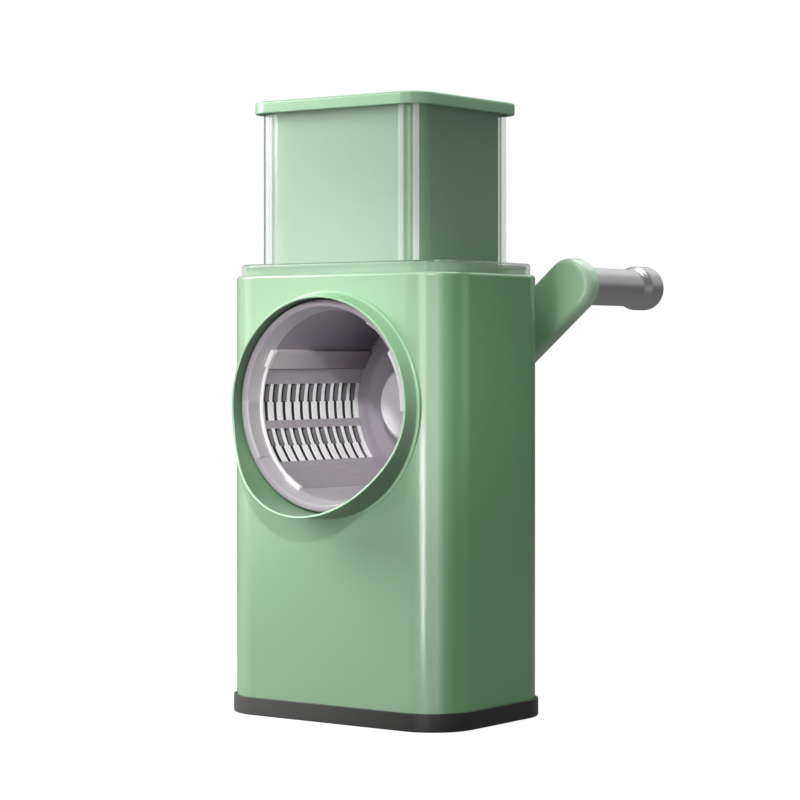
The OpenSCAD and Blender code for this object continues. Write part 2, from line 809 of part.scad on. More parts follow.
module grip_end_cap() {
    color(grip_silver) on_grip() translate([0, 0, grip_top - end_cap_t - seat_gap])
        soft_disc(end_pocket_r - seat_gap, end_cap_t, 0.6, 0);
}

base_boot();
base_plate();
base_screws();
housing();
drum_sleeve();
sleeve_screws();
shaft_bushing();
hopper();
pusher_block();
pusher_cap();
drum_frame();
cutting_sheets();
drum_back();
drive_shaft();
shaft_clip();
thrust_washer();
crank_arm();
arm_screw();
arm_cap();
grip_pin();
grip_washer();
handle_grip();
grip_end_cap();
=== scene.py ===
# %% [markdown]
# Rotary vegetable cutter
#
# This lesson dresses a packed engineering model of a hand-cranked vegetable cutter. The packed
# model says where every piece is and how it moves. Blender adds the surfaces: rounded mouldings,
# a clear hopper, a slotted steel drum, a crank with a metal grip, their finishes and the light.
#
# The first lines load the imported model as a fixed frame. Its pieces are never moved. The
# dressed object has to stay inside it.

# %% Load the frame
import json
import math

import bmesh
import bpy
from mathutils import Matrix, Vector


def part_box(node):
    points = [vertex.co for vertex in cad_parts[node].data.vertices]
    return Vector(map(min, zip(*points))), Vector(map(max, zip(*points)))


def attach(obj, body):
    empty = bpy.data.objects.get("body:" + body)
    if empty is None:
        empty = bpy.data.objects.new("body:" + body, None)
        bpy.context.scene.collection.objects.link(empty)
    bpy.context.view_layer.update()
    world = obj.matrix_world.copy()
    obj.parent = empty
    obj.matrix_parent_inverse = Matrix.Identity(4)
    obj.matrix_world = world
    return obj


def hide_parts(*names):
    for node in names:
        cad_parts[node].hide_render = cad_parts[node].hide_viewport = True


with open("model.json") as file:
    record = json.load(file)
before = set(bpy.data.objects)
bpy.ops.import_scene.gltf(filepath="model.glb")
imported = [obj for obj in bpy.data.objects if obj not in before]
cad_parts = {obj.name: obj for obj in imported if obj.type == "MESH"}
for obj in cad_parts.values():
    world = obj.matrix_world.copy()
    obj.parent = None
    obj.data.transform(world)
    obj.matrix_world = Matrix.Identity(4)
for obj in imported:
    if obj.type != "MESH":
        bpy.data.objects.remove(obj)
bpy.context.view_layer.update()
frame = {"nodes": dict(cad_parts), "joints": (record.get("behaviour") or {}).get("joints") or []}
MM = 0.001

# %% [markdown]
# The sizes come first. Radii and wall thicknesses can't be read from a box, so they are named
# here once, in millimetres.

# %% Sizes read from the frame
def low(node):
    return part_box(node)[0] / MM


def high(node):
    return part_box(node)[1] / MM


spin = next(j for j in frame["joints"] if j["name"] == "crank_spin")
AXIS_Z = spin["pos_m"][2] / MM
grip_joint = next(j for j in frame["joints"] if j["name"] == "grip_spin")
GRIP_X = grip_joint["pos_m"][0] / MM
GRIP_Z = grip_joint["pos_m"][2] / MM
CRANK_R = math.hypot(GRIP_X, GRIP_Z - AXIS_Z)
CRANK_ANGLE = math.atan2(GRIP_Z - AXIS_Z, GRIP_X)
FACE = -low("housing").y
print(f"drum axis {AXIS_Z:.1f} mm up, crank {CRANK_R:.1f} mm long")

# %% Radii and walls
BODY_R = 21.5
BODY_WALL = 2.4
BODY_EDGE = 1.6
HOPPER_R = 11
HOPPER_WALL = 2.3
FLANGE_R = 19.2
BASE_R = 23
CAP_R = 11.5
GAP = 0.3
SLEEVE_R = 52.0
BORE_R = 49.8
RING_R = 49.2
RING_IN = 45.8
SHEET_R = 45.1
SHEET_T = 0.7
SPANS = 2
SPAN = math.tau / SPANS
print(f"radii: sleeve {SLEEVE_R}, drum ring {RING_R}, sheets {SHEET_R} mm")

# %% [markdown]
# The camera stands where the photographer stood. It could be placed by eye, but then sizes would
# never agree, so it was fitted to the edges of the object: it looks level, turned 36.6 degrees
# from the outlet, from 1.2 m away, through a long lens. The small shift of the lens keeps the
# uprights parallel, as a view camera does.

# %% Camera
CAMERA_TURN = math.radians(36.574)
CAMERA_PLACE = Vector((730.5, -972.7, 169.31)) * MM
FOCAL_PIXELS = 2555.4
IMAGE_SIZE = 800
HORIZON_ROW = 356.44

camera_data = bpy.data.cameras.new("camera")
camera_data.sensor_width = 36
camera_data.lens = FOCAL_PIXELS / IMAGE_SIZE * camera_data.sensor_width
camera_data.shift_y = -(IMAGE_SIZE / 2 - HORIZON_ROW) / IMAGE_SIZE
camera_data.clip_start = 0.05
camera_data.clip_end = 50
camera = bpy.data.objects.new("camera", camera_data)
camera.location = CAMERA_PLACE
camera.rotation_euler = (math.radians(90), 0, CAMERA_TURN)
bpy.context.scene.collection.objects.link(camera)
bpy.context.scene.camera = camera
bpy.context.scene.view_settings.view_transform = "Standard"
print(f"lens {camera_data.lens:.0f} mm")

# %% [markdown]
# Every finish is a small node tree on a Principled shader. A plain colour would do for a sketch,
# but no real moulding or metal is that even. So the first helper makes the tree and sets the
# plain values on the shader's own sockets. The second adds a noise on Object coordinates, which
# stays put when the piece moves.

# %% A material and its noise
def new_material(name, colour, roughness, **values):
    material = bpy.data.materials.new(name)
    material.use_nodes = True
    shader = material.node_tree.nodes["Principled BSDF"]
    shader.inputs["Base Color"].default_value = (*colour, 1)
    shader.inputs["Roughness"].default_value = roughness
    for socket, value in values.items():
        shader.inputs[socket.replace("_", " ")].default_value = value
    return material, material.node_tree, shader


def object_noise(tree, scale, stretch=(1, 1, 1)):
    coordinates = tree.nodes.new("ShaderNodeTexCoord")
    mapping = tree.nodes.new("ShaderNodeMapping")
    mapping.inputs["Scale"].default_value = stretch
    noise = tree.nodes.new("ShaderNodeTexNoise")
    noise.inputs["Scale"].default_value = scale
    noise.inputs["Detail"].default_value = 3
    tree.links.new(coordinates.outputs["Object"], mapping.inputs["Vector"])
    tree.links.new(mapping.outputs["Vector"], noise.inputs["Vector"])
    return noise


# %% [markdown]
# The noise can change how sharply a surface mirrors, its colour, or the grain that one would
# feel. Each is a helper of its own, so that a finish takes only what the real surface shows.

# %% What the noise changes
def vary_roughness(tree, shader, noise, low_value, high_value):
    spread = tree.nodes.new("ShaderNodeMapRange")
    spread.inputs["To Min"].default_value = low_value
    spread.inputs["To Max"].default_value = high_value
    tree.links.new(noise.outputs["Fac"], spread.inputs["Value"])
    tree.links.new(spread.outputs["Result"], shader.inputs["Roughness"])


def vary_colour(tree, shader, noise, first, second):
    ramp = tree.nodes.new("ShaderNodeValToRGB")
    ramp.color_ramp.elements[0].position = 0.35
    ramp.color_ramp.elements[0].color = (*first, 1)
    ramp.color_ramp.elements[1].position = 0.65
    ramp.color_ramp.elements[1].color = (*second, 1)
    tree.links.new(noise.outputs["Fac"], ramp.inputs["Fac"])
    tree.links.new(ramp.outputs["Color"], shader.inputs["Base Color"])


def add_bump(tree, shader, noise, strength, distance):
    bump = tree.nodes.new("ShaderNodeBump")
    bump.inputs["Strength"].default_value = strength
    bump.inputs["Distance"].default_value = distance
    tree.links.new(noise.outputs["Fac"], bump.inputs["Height"])
    tree.links.new(bump.outputs["Normal"], shader.inputs["Normal"])


# %% [markdown]
# On some pieces light and shade are painted into the colour, which runs from one shade to another,
# as where a moulding turns away from the window. More lamps could do that, but each of them would
# light the other pieces too. A colour ramp along one Object axis stays on its own piece, from
# whatever side it is seen.

# %% A shade that runs along a piece
def fade(material, axis, stops):
    """Lets the colour run along an axis through the stops, each a place in metres and a shade."""
    tree = material.node_tree
    coordinates = tree.nodes.new("ShaderNodeTexCoord")
    split = tree.nodes.new("ShaderNodeSeparateXYZ")
    spread = tree.nodes.new("ShaderNodeMapRange")
    first, last = stops[0][0], stops[-1][0]
    spread.inputs["From Min"].default_value = first
    spread.inputs["From Max"].default_value = last
    ramp = tree.nodes.new("ShaderNodeValToRGB")
    points = ramp.color_ramp.elements
    for place, shade in stops[1:-1]:
        points.new((place - first) / (last - first)).color = (*shade, 1)
    points[0].color = (*stops[0][1], 1)
    points[len(points) - 1].color = (*stops[-1][1], 1)
    tree.links.new(coordinates.outputs["Object"], split.inputs["Vector"])
    tree.links.new(split.outputs[axis], spread.inputs["Value"])
    tree.links.new(spread.outputs["Result"], ramp.inputs["Fac"])
    tree.links.new(ramp.outputs["Color"], tree.nodes["Principled BSDF"].inputs["Base Color"])
    return material


# %% [markdown]
# The housing, collar, crank and pusher are one sage-green plastic. A single glossy layer would
# mirror either too sharply or too softly, so a clear coat draws sharp streaks of the near corner
# over a softer base; a bright band and the darker side beside that corner are painted into the
# housing's colour. Where the shade doesn't run, it is a little lighter and darker from place to
# place, far too faintly to see as spots.

# %% Green moulding
MID_GREEN = (0.325, 0.54, 0.335)
# The darkest green is a painted shade, used on the housing's right side.
PAINTED_SHADE_GREEN = (0.185, 0.445, 0.195)


def green_moulding(name, shade, coat, coat_roughness=0.16, run=None):
    """One green finish. run is the axis and the stops of a shade that runs along the piece."""
    material, tree, shader = new_material(name, shade, 0.3, Coat_Weight=coat,
                                          Coat_Roughness=coat_roughness, IOR=1.5)
    if run:
        fade(material, *run)
    else:
        vary_colour(tree, shader, object_noise(tree, 14),
                    [0.98 * c for c in shade], [1.02 * c for c in shade])
    vary_roughness(tree, shader, object_noise(tree, 60), 0.26, 0.34)
    return material


# %% Greens of the large pieces
GREEN = green_moulding("green_moulding", MID_GREEN, 1.0)
CAP_GREEN = green_moulding("green_cap", (0.33, 0.58, 0.36), 0.3, 0.4)
# The housing's green is painted light and shade: lighter at the left, a painted highlight band
# where the near corner turns, and painted shade on the right side.
HOUSING_GREEN = green_moulding("green_housing", MID_GREEN, 1.0, run=("X", [
    (-0.0675, (0.46, 0.68, 0.47)), (-0.046, (0.33, 0.54, 0.34)), (0.044, (0.29, 0.485, 0.3)),
    (0.053, (0.35, 0.565, 0.36)), (0.0588, (0.385, 0.6, 0.395)), (0.0612, (0.2, 0.42, 0.21)),
    (0.0638, (0.155, 0.36, 0.165)), (0.066, PAINTED_SHADE_GREEN)]))
# Painted light and shade: the pusher's green is lighter at the left and runs darker to the right.
PUSHER_GREEN = green_moulding("green_pusher", MID_GREEN, 1.0, run=("X", [
    (-0.042, (0.54, 0.69, 0.55)), (0.032, (0.32, 0.5, 0.33)), (0.044, (0.16, 0.48, 0.17))]))
# Painted highlight: the arm's green runs lighter towards its tip.
ARM_GREEN = green_moulding("green_arm", MID_GREEN, 1.0, run=("X", [
    (0.06, (0.34, 0.57, 0.35)), (0.076, (0.58, 0.86, 0.6))]))
print("greens:", [m.name for m in (GREEN, CAP_GREEN, HOUSING_GREEN, PUSHER_GREEN, ARM_GREEN)])

# %% [markdown]
# The collar is satin, not glossy. The photo shows it darker inside than outside, and its bore
# almost black, because little light comes that deep. Each of these faces gets its own green.

# %% Greens of the collar
SATIN_COAT = (0.2, 0.32)
SATIN_GREEN = green_moulding("green_satin", (0.31, 0.545, 0.32), 0.35, 0.32)
# Painted shade: inside the collar the green runs darker towards the top, outside it runs darker
# towards the bottom, and the bore is painted almost black.
INSIDE_GREEN = green_moulding("green_inside", MID_GREEN, *SATIN_COAT, run=("Z", [
    (0.118, (0.2, 0.38, 0.21)), (0.155, (0.1, 0.165, 0.105))]))
OUTSIDE_GREEN = green_moulding("green_outside", MID_GREEN, *SATIN_COAT, run=("Z", [
    (0.12, (0.115, 0.175, 0.12)), (0.17, (0.29, 0.51, 0.3))]))
BORE_GREEN = green_moulding("green_bore", (0.025, 0.035, 0.028), 0.0)
print("greens of the collar:",
      [m.name for m in (SATIN_GREEN, INSIDE_GREEN, OUTSIDE_GREEN, BORE_GREEN)])

# %% [markdown]
# Clear plastic is mostly a matter of what is behind it. A Principled shader with a low alpha lets
# most light straight through and keeps its highlights, which is quieter to render than true
# refraction in thin walls and survives an export. Where one looks along the plastic and not
# through it, as at the flange and its edge, it is greener or darker. The dark edges and the darker
# side wall are partly that and partly painted shade, and the two bright strips at the bend of the
# near corner are painted highlights. These places get a shade and an alpha of their own.

# %% Clear moulding
def clear_moulding(name, shade, alpha):
    material, tree, shader = new_material(name, shade, 0.08, Alpha=alpha, IOR=1.5)
    vary_roughness(tree, shader, object_noise(tree, 25), 0.05, 0.12)
    return material


CLEAR = clear_moulding("clear_moulding", (0.82, 0.88, 0.84), 0.12)
FLANGE_CLEAR = clear_moulding("clear_flange", (0.5, 0.71, 0.52), 0.45)
# The dark edge and the darker side are partly painted shade; the two glints are painted
# highlights.
EDGE_CLEAR = clear_moulding("clear_edge", (0.16, 0.22, 0.17), 0.6)
SIDE_CLEAR = clear_moulding("clear_side", (0.42, 0.56, 0.44), 0.35)
GLINT_CLEAR = clear_moulding("clear_glint", (0.7, 0.8, 0.71), 0.7)
FAR_GLINT = clear_moulding("clear_far_glint", (0.85, 0.92, 0.86), 0.9)
print("clear:", [m.name for m in (CLEAR, FLANGE_CLEAR, EDGE_CLEAR, SIDE_CLEAR, GLINT_CLEAR,
                                  FAR_GLINT)])

# %% [markdown]
# The drum is a matt grey plastic with a fine grain, which a small bump shows. The light falls off
# fast inside the drum, and this is painted into the grey: its ring, walls, bars, lips and back
# each have their own depth of the grey as painted light or painted shade, and on the long ones a
# painted shade runs darker towards the back.

# %% Grey drum plastic
def drum_plastic(name, shade, along=None):
    """One grey finish. along gives the stops of a shade that runs along the drum."""
    material, tree, shader = new_material(name, shade, 0.42, IOR=1.5)
    if along:
        fade(material, "Y", along)
    else:
        vary_colour(tree, shader, object_noise(tree, 18),
                    [0.96 * c for c in shade], [1.04 * c for c in shade])
    vary_roughness(tree, shader, object_noise(tree, 300), 0.36, 0.5)
    add_bump(tree, shader, object_noise(tree, 1500), 0.08, 0.0002)
    return material


# The greys below are painted light and shade: the ring's front and the disc are darker, the lip
# and the cone nearly white, and the wall and bars run darker towards the back.
RING_GREY = drum_plastic("ring_plastic", (0.4, 0.35, 0.4))
DRUM_GREY = drum_plastic("drum_plastic", (0.5, 0.475, 0.5))
WALL_GREY = drum_plastic("wall_plastic", (0.25, 0.215, 0.26), [
    (-0.035, (0.36, 0.31, 0.37)), (0.035, (0.1, 0.085, 0.11))])
BAR_GREY = drum_plastic("bar_plastic", (0.4, 0.37, 0.4), [
    (-0.035, (0.62, 0.59, 0.61)), (0.0, (0.36, 0.33, 0.36)), (0.035, (0.18, 0.15, 0.18))])
LIP_GREY = drum_plastic("lip_plastic", (0.84, 0.82, 0.83))
CONE_GREY = drum_plastic("cone_plastic", (0.95, 0.93, 0.95))
DISC_GREY = drum_plastic("disc_plastic", (0.36, 0.33, 0.37))
print("greys:", [m.name for m in (RING_GREY, DRUM_GREY, WALL_GREY, BAR_GREY, LIP_GREY, CONE_GREY,
                                  DISC_GREY)])

# %% [markdown]
# The sheets and screws are stainless steel. A fully metallic shader would mirror the white
# surround in every slot, while the photo shows calm greys. So the rolled sheet is only partly
# metallic, with a grain drawn out along the drum, and the ground webs between the slots are
# pale and almost matt. The strips that the punch has pushed out of the drum lie in shadow, seen
# from inside, and are nearly black. Only the screws, the pin and the shaft are full metal.

# %% Steels
def brushed_sheet():
    material, tree, shader = new_material("brushed_sheet", (0.5, 0.47, 0.5), 0.4, Metallic=0.35)
    grain = object_noise(tree, 90, stretch=(12, 1, 12))
    vary_colour(tree, shader, grain, (0.47, 0.44, 0.47), (0.53, 0.5, 0.53))
    vary_roughness(tree, shader, grain, 0.34, 0.48)
    return material


def ground_teeth(name, level):
    material, tree, shader = new_material(name, (level, 0.98 * level, level), 0.36,
                                          Metallic=0.08)
    grain = object_noise(tree, 260, stretch=(1, 1, 8))
    vary_colour(tree, shader, grain, [level * c for c in (0.93, 0.91, 0.93)],
                [level * c for c in (1.03, 1.01, 1.03)])
    vary_roughness(tree, shader, grain, 0.28, 0.44)
    return material


def bright_steel():
    material, tree, shader = new_material("bright_steel", (0.62, 0.62, 0.63), 0.28,
                                          Metallic=1.0)
    vary_roughness(tree, shader, object_noise(tree, 400), 0.22, 0.36)
    return material


SHEET_STEEL = brushed_sheet()
# The webs are nearly white, partly their ground steel and partly a painted sheen. The punched
# strips are painted nearly black, a painted shadow.
TOOTH_STEEL = ground_teeth("ground_teeth", 0.96)
PUNCHED_SHADOW_STEEL = ground_teeth("punched_shadow_steel", 0.13)
BRIGHT_STEEL = bright_steel()
print("steels:", [m.name for m in (SHEET_STEEL, TOOTH_STEEL, PUNCHED_SHADOW_STEEL, BRIGHT_STEEL)])

# %% [markdown]
# The grip is satin metal, and its grain runs round it, as turning leaves it. The boot is black
# rubber with a fine grain, greyer at the left where the light comes from. The washers and the
# bushing are a pale bearing plastic.

# %% Grip metal, boot rubber and bearing plastic
def grip_metal():
    material, tree, shader = new_material("grip_metal", (0.53, 0.53, 0.54), 0.36,
                                          Metallic=0.9)
    grain = object_noise(tree, 120, stretch=(1, 14, 1))
    vary_roughness(tree, shader, grain, 0.32, 0.42)
    return material


def boot_rubber():
    material, tree, shader = new_material("boot_rubber", (0.035, 0.03, 0.032), 0.45,
                                          Coat_Weight=0.2, Coat_Roughness=0.3)
    # Painted light and shade: the rubber is greyer at the left and darker towards the right.
    fade(material, "X", [(-0.07, (0.115, 0.112, 0.108)), (0.05, (0.022, 0.02, 0.019)),
                         (0.07, (0.013, 0.012, 0.012))])
    vary_roughness(tree, shader, object_noise(tree, 350), 0.38, 0.55)
    add_bump(tree, shader, object_noise(tree, 2200), 0.1, 0.0002)
    return material


def bearing_plastic():
    material, tree, shader = new_material("bearing_plastic", (0.8, 0.8, 0.76), 0.35)
    vary_roughness(tree, shader, object_noise(tree, 200), 0.3, 0.42)
    return material


GRIP_METAL = grip_metal()
BOOT_RUBBER = boot_rubber()
BEARING_WHITE = bearing_plastic()
print("others:", [m.name for m in (GRIP_METAL, BOOT_RUBBER, BEARING_WHITE)])

# %% [markdown]
# Modelling in code works as by hand: pick a piece, enter edit mode, select faces or edges by
# where they are, and call an operator. Meshes could be written out as lists of points, but
# then nobody could read the shape in them.

# %% Selection helpers
def only(piece):
    bpy.ops.object.select_all(action="DESELECT")
    piece.select_set(True)
    bpy.context.view_layer.objects.active = piece


def open_edit(piece, kind="FACE"):
    only(piece)
    bpy.ops.object.mode_set(mode="EDIT")
    bpy.ops.mesh.select_mode(type=kind)
    bpy.ops.mesh.select_all(action="DESELECT")


def close_edit():
    bpy.ops.object.mode_set(mode="OBJECT")


def pick_faces(piece, test):
    mesh = bmesh.from_edit_mesh(piece.data)
    for face in mesh.faces:
        face.select_set(test(face.calc_center_median() / MM, face.normal))
    bmesh.update_edit_mesh(piece.data)


def pick_edges(piece, test):
    mesh = bmesh.from_edit_mesh(piece.data)
    for edge in mesh.edges:
        first, second = (v.co / MM for v in edge.verts)
        if test(first, second):
            edge.select_set(True)
    bmesh.update_edit_mesh(piece.data)


def apply_place(piece):
    only(piece)
    bpy.ops.object.transform_apply(location=True, rotation=True, scale=True)


# %% [markdown]
# Modifiers do what would be long work by hand: a wall of even thickness, a rounding, a hole. They
# are applied at once, so that the next step sees the real mesh. Smooth shading with sharp edges
# over 35 degrees, and normals weighted by face area, make a flat face look flat beside its
# rounding.

# %% Modifier and boolean helpers
def modify(piece, kind, **settings):
    only(piece)
    modifier = piece.modifiers.new(kind.lower(), kind)
    for name, value in settings.items():
        setattr(modifier, name, value)
    bpy.ops.object.modifier_apply(modifier=modifier.name)


def cut(piece, tool, operation="DIFFERENCE"):
    modify(piece, "BOOLEAN", object=tool, operation=operation, solver="EXACT")
    bpy.data.objects.remove(tool)


def open_shell(piece, test, wall):
    """Deletes the faces that the test picks and gives the others a wall, inwards."""
    open_edit(piece)
    pick_faces(piece, test)
    bpy.ops.mesh.delete(type="FACE")
    close_edit()
    modify(piece, "SOLIDIFY", thickness=wall * MM, offset=-1)
    return piece


def drop_doubles(piece):
    open_edit(piece)
    bpy.ops.mesh.select_all(action="SELECT")
    bpy.ops.mesh.remove_doubles(threshold=0.002 * MM)
    bpy.ops.mesh.normals_make_consistent(inside=False)
    close_edit()


def smooth(piece, angle=35):
    only(piece)
    bpy.ops.object.shade_smooth_by_angle(angle=math.radians(angle))
    modify(piece, "WEIGHTED_NORMAL", keep_sharp=True)


# %% [markdown]
# Two shapes start nearly every moulding. A block with round upright corners is a cube whose four
# upright edges are bevelled. A turned shape is a ring that is extruded and resized from one
# point of a half section to the next, as on a lathe, until it meets its first ring again. The
# spin operator would do too, but the section would first have to be drawn as loose edges.

# %% Block with round corners
def round_block(name, corner_low, corner_high, radius, segments=14):
    centre = (Vector(corner_low) + Vector(corner_high)) / 2 * MM
    size = (Vector(corner_high) - Vector(corner_low)) * MM
    bpy.ops.mesh.primitive_cube_add(size=1, location=centre, scale=size)
    piece = bpy.context.active_object
    piece.name = name
    apply_place(piece)
    open_edit(piece, "EDGE")
    pick_edges(piece, lambda a, b: abs(a.z - b.z) > 0.01)
    bpy.ops.mesh.bevel(offset=radius * MM, segments=segments, affect="EDGES")
    close_edit()
    return piece


def bevel_level(piece, level, width, segments=4):
    open_edit(piece, "EDGE")
    pick_edges(piece, lambda a, b: abs(a.z - level) < 0.01 and abs(b.z - level) < 0.01)
    bpy.ops.mesh.bevel(offset=width * MM, segments=segments, affect="EDGES")
    close_edit()


# %% Turned shapes
def turned(name, section, sides=128):
    """Closed half section [(radius, along), ...] turned round Z, in millimetres."""
    radius, along = section[0]
    bpy.ops.mesh.primitive_circle_add(vertices=sides, radius=radius * MM, location=(0, 0, 0))
    piece = bpy.context.active_object
    piece.name = name
    open_edit(piece, "EDGE")
    bpy.ops.mesh.select_all(action="SELECT")
    bpy.ops.transform.translate(value=(0, 0, along * MM))
    for new_radius, new_along in section[1:] + section[:1]:
        rise = (new_along - along) * MM
        growth = new_radius / radius
        bpy.ops.mesh.extrude_region_move(TRANSFORM_OT_translate={"value": (0, 0, rise)})
        bpy.ops.transform.resize(value=(growth, growth, 1), center_override=(0, 0, 0))
        radius, along = new_radius, new_along
    close_edit()
    drop_doubles(piece)
    return piece


def arc(centre, radius, start, stop, steps=5):
    """Points of a round corner in a half section, angles in degrees."""
    angles = [math.radians(start + (stop - start) * i / steps) for i in range(steps + 1)]
    return [(centre[0] + radius * math.cos(a), centre[1] + radius * math.sin(a)) for a in angles]


def keep_sector(piece, start, stop):
    """Cuts a turned ring down to the stretch between two angles under 180 degrees apart."""
    for angle, sign in ((start, 1), (stop, -1)):
        normal = Vector((-math.sin(angle), math.cos(angle), 0)) * sign
        open_edit(piece, "FACE")
        bpy.ops.mesh.select_all(action="SELECT")
        bpy.ops.mesh.bisect(plane_co=(0, 0, 0), plane_no=normal, use_fill=True, clear_inner=True)
        close_edit()


# %% [markdown]
# Turned pieces are drawn round the vertical and then laid on the drum's axis or the grip's axis.
# Along the drum, distances count out of the front. Angles count up from the right, seen from
# the front.

# %% Laying turned pieces on their axes
def lay_on_axis(piece):
    place = Matrix.Translation((0, 0, AXIS_Z * MM))
    piece.data.transform(place @ Matrix.Rotation(math.radians(90), 4, "X"))
    return piece


def lay_on_grip(piece, back):
    place = Matrix.Translation((GRIP_X * MM, back * MM, GRIP_Z * MM))
    piece.data.transform(place @ Matrix.Rotation(math.radians(-90), 4, "X"))
    return piece


# %% [markdown]
# What the drum has twice is modelled once and copied round the axis, each copy with its own mesh.
# A finished piece is handed over to the frame: it gets its material and rides on its body, and the
# nodes of the frame that it stands for are hidden. Where a piece shows more than one finish, each
# face is given one by where it is and which way it looks.

# %% Copies and hand-over to the frame
def copy_turned(piece, name, turn):
    twin = bpy.data.objects.new(name, piece.data.copy())
    bpy.context.scene.collection.objects.link(twin)
    about = Matrix.Translation((0, 0, AXIS_Z * MM))
    twin.data.transform(about @ Matrix.Rotation(-turn, 4, "Y") @ about.inverted())
    return twin


def hand_over(piece, material, body, slot, *nodes):
    piece.data.materials.clear()
    piece.data.materials.append(material)
    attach(piece, body)
    if nodes:
        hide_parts(*nodes)
    print(f"{piece.name}: {len(piece.data.polygons)} faces on {body}")


def shade_faces(piece, pick, *others):
    """Adds finishes to a piece. Each face takes what pick(centre in mm, normal) gives."""
    for material in others:
        piece.data.materials.append(material)
    finishes = list(piece.data.materials)
    for face in piece.data.polygons:
        face.material_index = finishes.index(pick(face.center / MM, face.normal))
    print(f"{piece.name}: {len(finishes)} finishes")


# %% [markdown]
# The housing is a hollow moulding, open below, with a rounded top edge. It could be drawn as one
# outline and extruded, but then its wall would have to be drawn twice. So it is a bevelled block
# whose bottom face is deleted, and Solidify gives it its wall, as a mould core does. The hopper's
# opening, the drum's round opening and the shaft's hole are then cut out.

# %% Housing
TUBE_W = 96
TUBE_D = 79
SHAFT_HOLE_R = 7.1


def make_housing():
    piece = round_block("housing_shell", low("housing"), high("housing"), BODY_R, 18)
    bevel_level(piece, high("housing").z, BODY_EDGE, 6)
    return open_shell(piece, lambda c, n: n.z < -0.9, BODY_WALL)


def axis_cylinder(name, radius, front, back, sides=128):
    section = [(0.01, back), (radius, back), (radius, front), (0.01, front)]
    return lay_on_axis(turned(name, section, sides))


housing = make_housing()
mouth = round_block("mouth", (-TUBE_W / 2 - GAP, -TUBE_D / 2 - GAP, 190),
                    (TUBE_W / 2 + GAP, TUBE_D / 2 + GAP, 230), HOPPER_R + GAP)
cut(housing, mouth)
cut(housing, axis_cylinder("drum_hole", SLEEVE_R + GAP, FACE + 5, FACE - BODY_R))
cut(housing, axis_cylinder("shaft_hole", SHAFT_HOLE_R, -FACE + 8, -FACE - 5, 48))
smooth(housing)
hand_over(housing, HOUSING_GREEN, "stand", "housing_green", "housing")

# %% [markdown]
# The base is a dark rubber boot that grips the worktop. The housing stands in it, so its top face
# is inset to a narrow lip and pushed down to a pocket, which is quicker and cleaner than cutting
# the pocket with a second block. The sole stays flat, and two insets part it into rings.

# %% Base boot
BOOT_LIP = 0.8
POCKET_DEPTH = 5.8
SOLE_RINGS = (3.7, 3.5)


def make_boot():
    bottom, top = low("base_boot"), high("base_boot")
    piece = round_block("base_boot_skin", bottom, top, BASE_R, 18)
    bevel_level(piece, top.z, 0.4, 2)
    bevel_level(piece, bottom.z, 0.8, 3)
    open_edit(piece)
    pick_faces(piece, lambda c, n: n.z > 0.99)
    bpy.ops.mesh.inset(thickness=BOOT_LIP * MM)
    bpy.ops.mesh.extrude_region_move(TRANSFORM_OT_translate={"value": (0, 0, -POCKET_DEPTH * MM)})
    bpy.ops.mesh.select_all(action="DESELECT")
    pick_faces(piece, lambda c, n: n.z < -0.99)
    for width in SOLE_RINGS:
        bpy.ops.mesh.inset(thickness=width * MM)
    close_edit()
    return piece


boot = make_boot()
smooth(boot)
hand_over(boot, BOOT_RUBBER, "stand", "boot_black", "base_boot")

# %% [markdown]
# The collar is the front end of the sleeve that the drum turns in. Its rim is cut obliquely, so
# that food slides down a spout. A slanting cut would leave a sharp rim, so the tube is turned with
# a small flare at its foot and a rounded rim. The lower half of the rim is then drawn forward,
# more the lower it is, with a soft bend where the spout starts.

# %% Sleeve and collar
RIM = FACE + 8.4
RIM_WALL = 1.2
SPOUT_DROP = 15
SPOUT_SLOPE = math.tan(math.radians(22.4))
SPOUT_BLEND = 12
SPOUT_SOFT = 0.9
SLEEVE_BACK = -high("drum_sleeve").y
BACK_WALL = 1.4
RIM_R = 0.45
FLARE = 1.3


def spout_reach(up):
    """How far the rim is drawn forward at a height over the axis."""
    depth = -SPOUT_DROP - up
    if depth <= -SPOUT_BLEND:
        return 0
    if depth < SPOUT_BLEND:
        return SPOUT_SLOPE * (depth + SPOUT_BLEND) ** 2 / (4 * SPOUT_BLEND)
    return SPOUT_SLOPE * depth


def make_sleeve():
    rim_out = BORE_R + RIM_WALL
    section = [(BORE_R, SLEEVE_BACK), (SLEEVE_R, SLEEVE_BACK)]
    section += [(SLEEVE_R, FACE - 1), (SLEEVE_R, FACE + 0.1)]
    section += [(SLEEVE_R + FLARE, FACE + 0.1), (SLEEVE_R + FLARE, FACE + 0.6)]
    section += arc((SLEEVE_R + FLARE, FACE + 0.6 + FLARE), FLARE, -100, -170, 5)
    section += [(rim_out + 0.3, RIM - 4.5)]
    section += arc((rim_out - RIM_R, RIM - RIM_R), RIM_R, 0, 90, 4)
    section += arc((BORE_R + RIM_R, RIM - RIM_R), RIM_R, 90, 180, 4)
    section += [(BORE_R, FACE + 1)]
    return turned("drum_collar", section, 192)


def draw_spout(piece):
    foot = (FACE + 2) * MM
    length = RIM * MM - foot
    for vertex in piece.data.vertices:
        share = (vertex.co.z - foot) / length
        if share > 0:
            reach = spout_reach(vertex.co.y / MM) * MM
            vertex.co.z += reach * min(share / SPOUT_SOFT, 1)


# %% Collar with its opening and finishes
# Painted shade: the bore deep inside takes the almost black green, and the inner and outer walls
# of the spout take the greens whose painted shade runs with height.
def collar_finish(place, normal):
    inner = math.hypot(place.x, place.z - AXIS_Z) < BORE_R + 0.3
    if -place.y < FACE - 8 and inner:
        return BORE_GREEN
    if -place.y > FACE + 1 and abs(normal.y) < 0.5:
        return INSIDE_GREEN if inner else OUTSIDE_GREEN
    return SATIN_GREEN


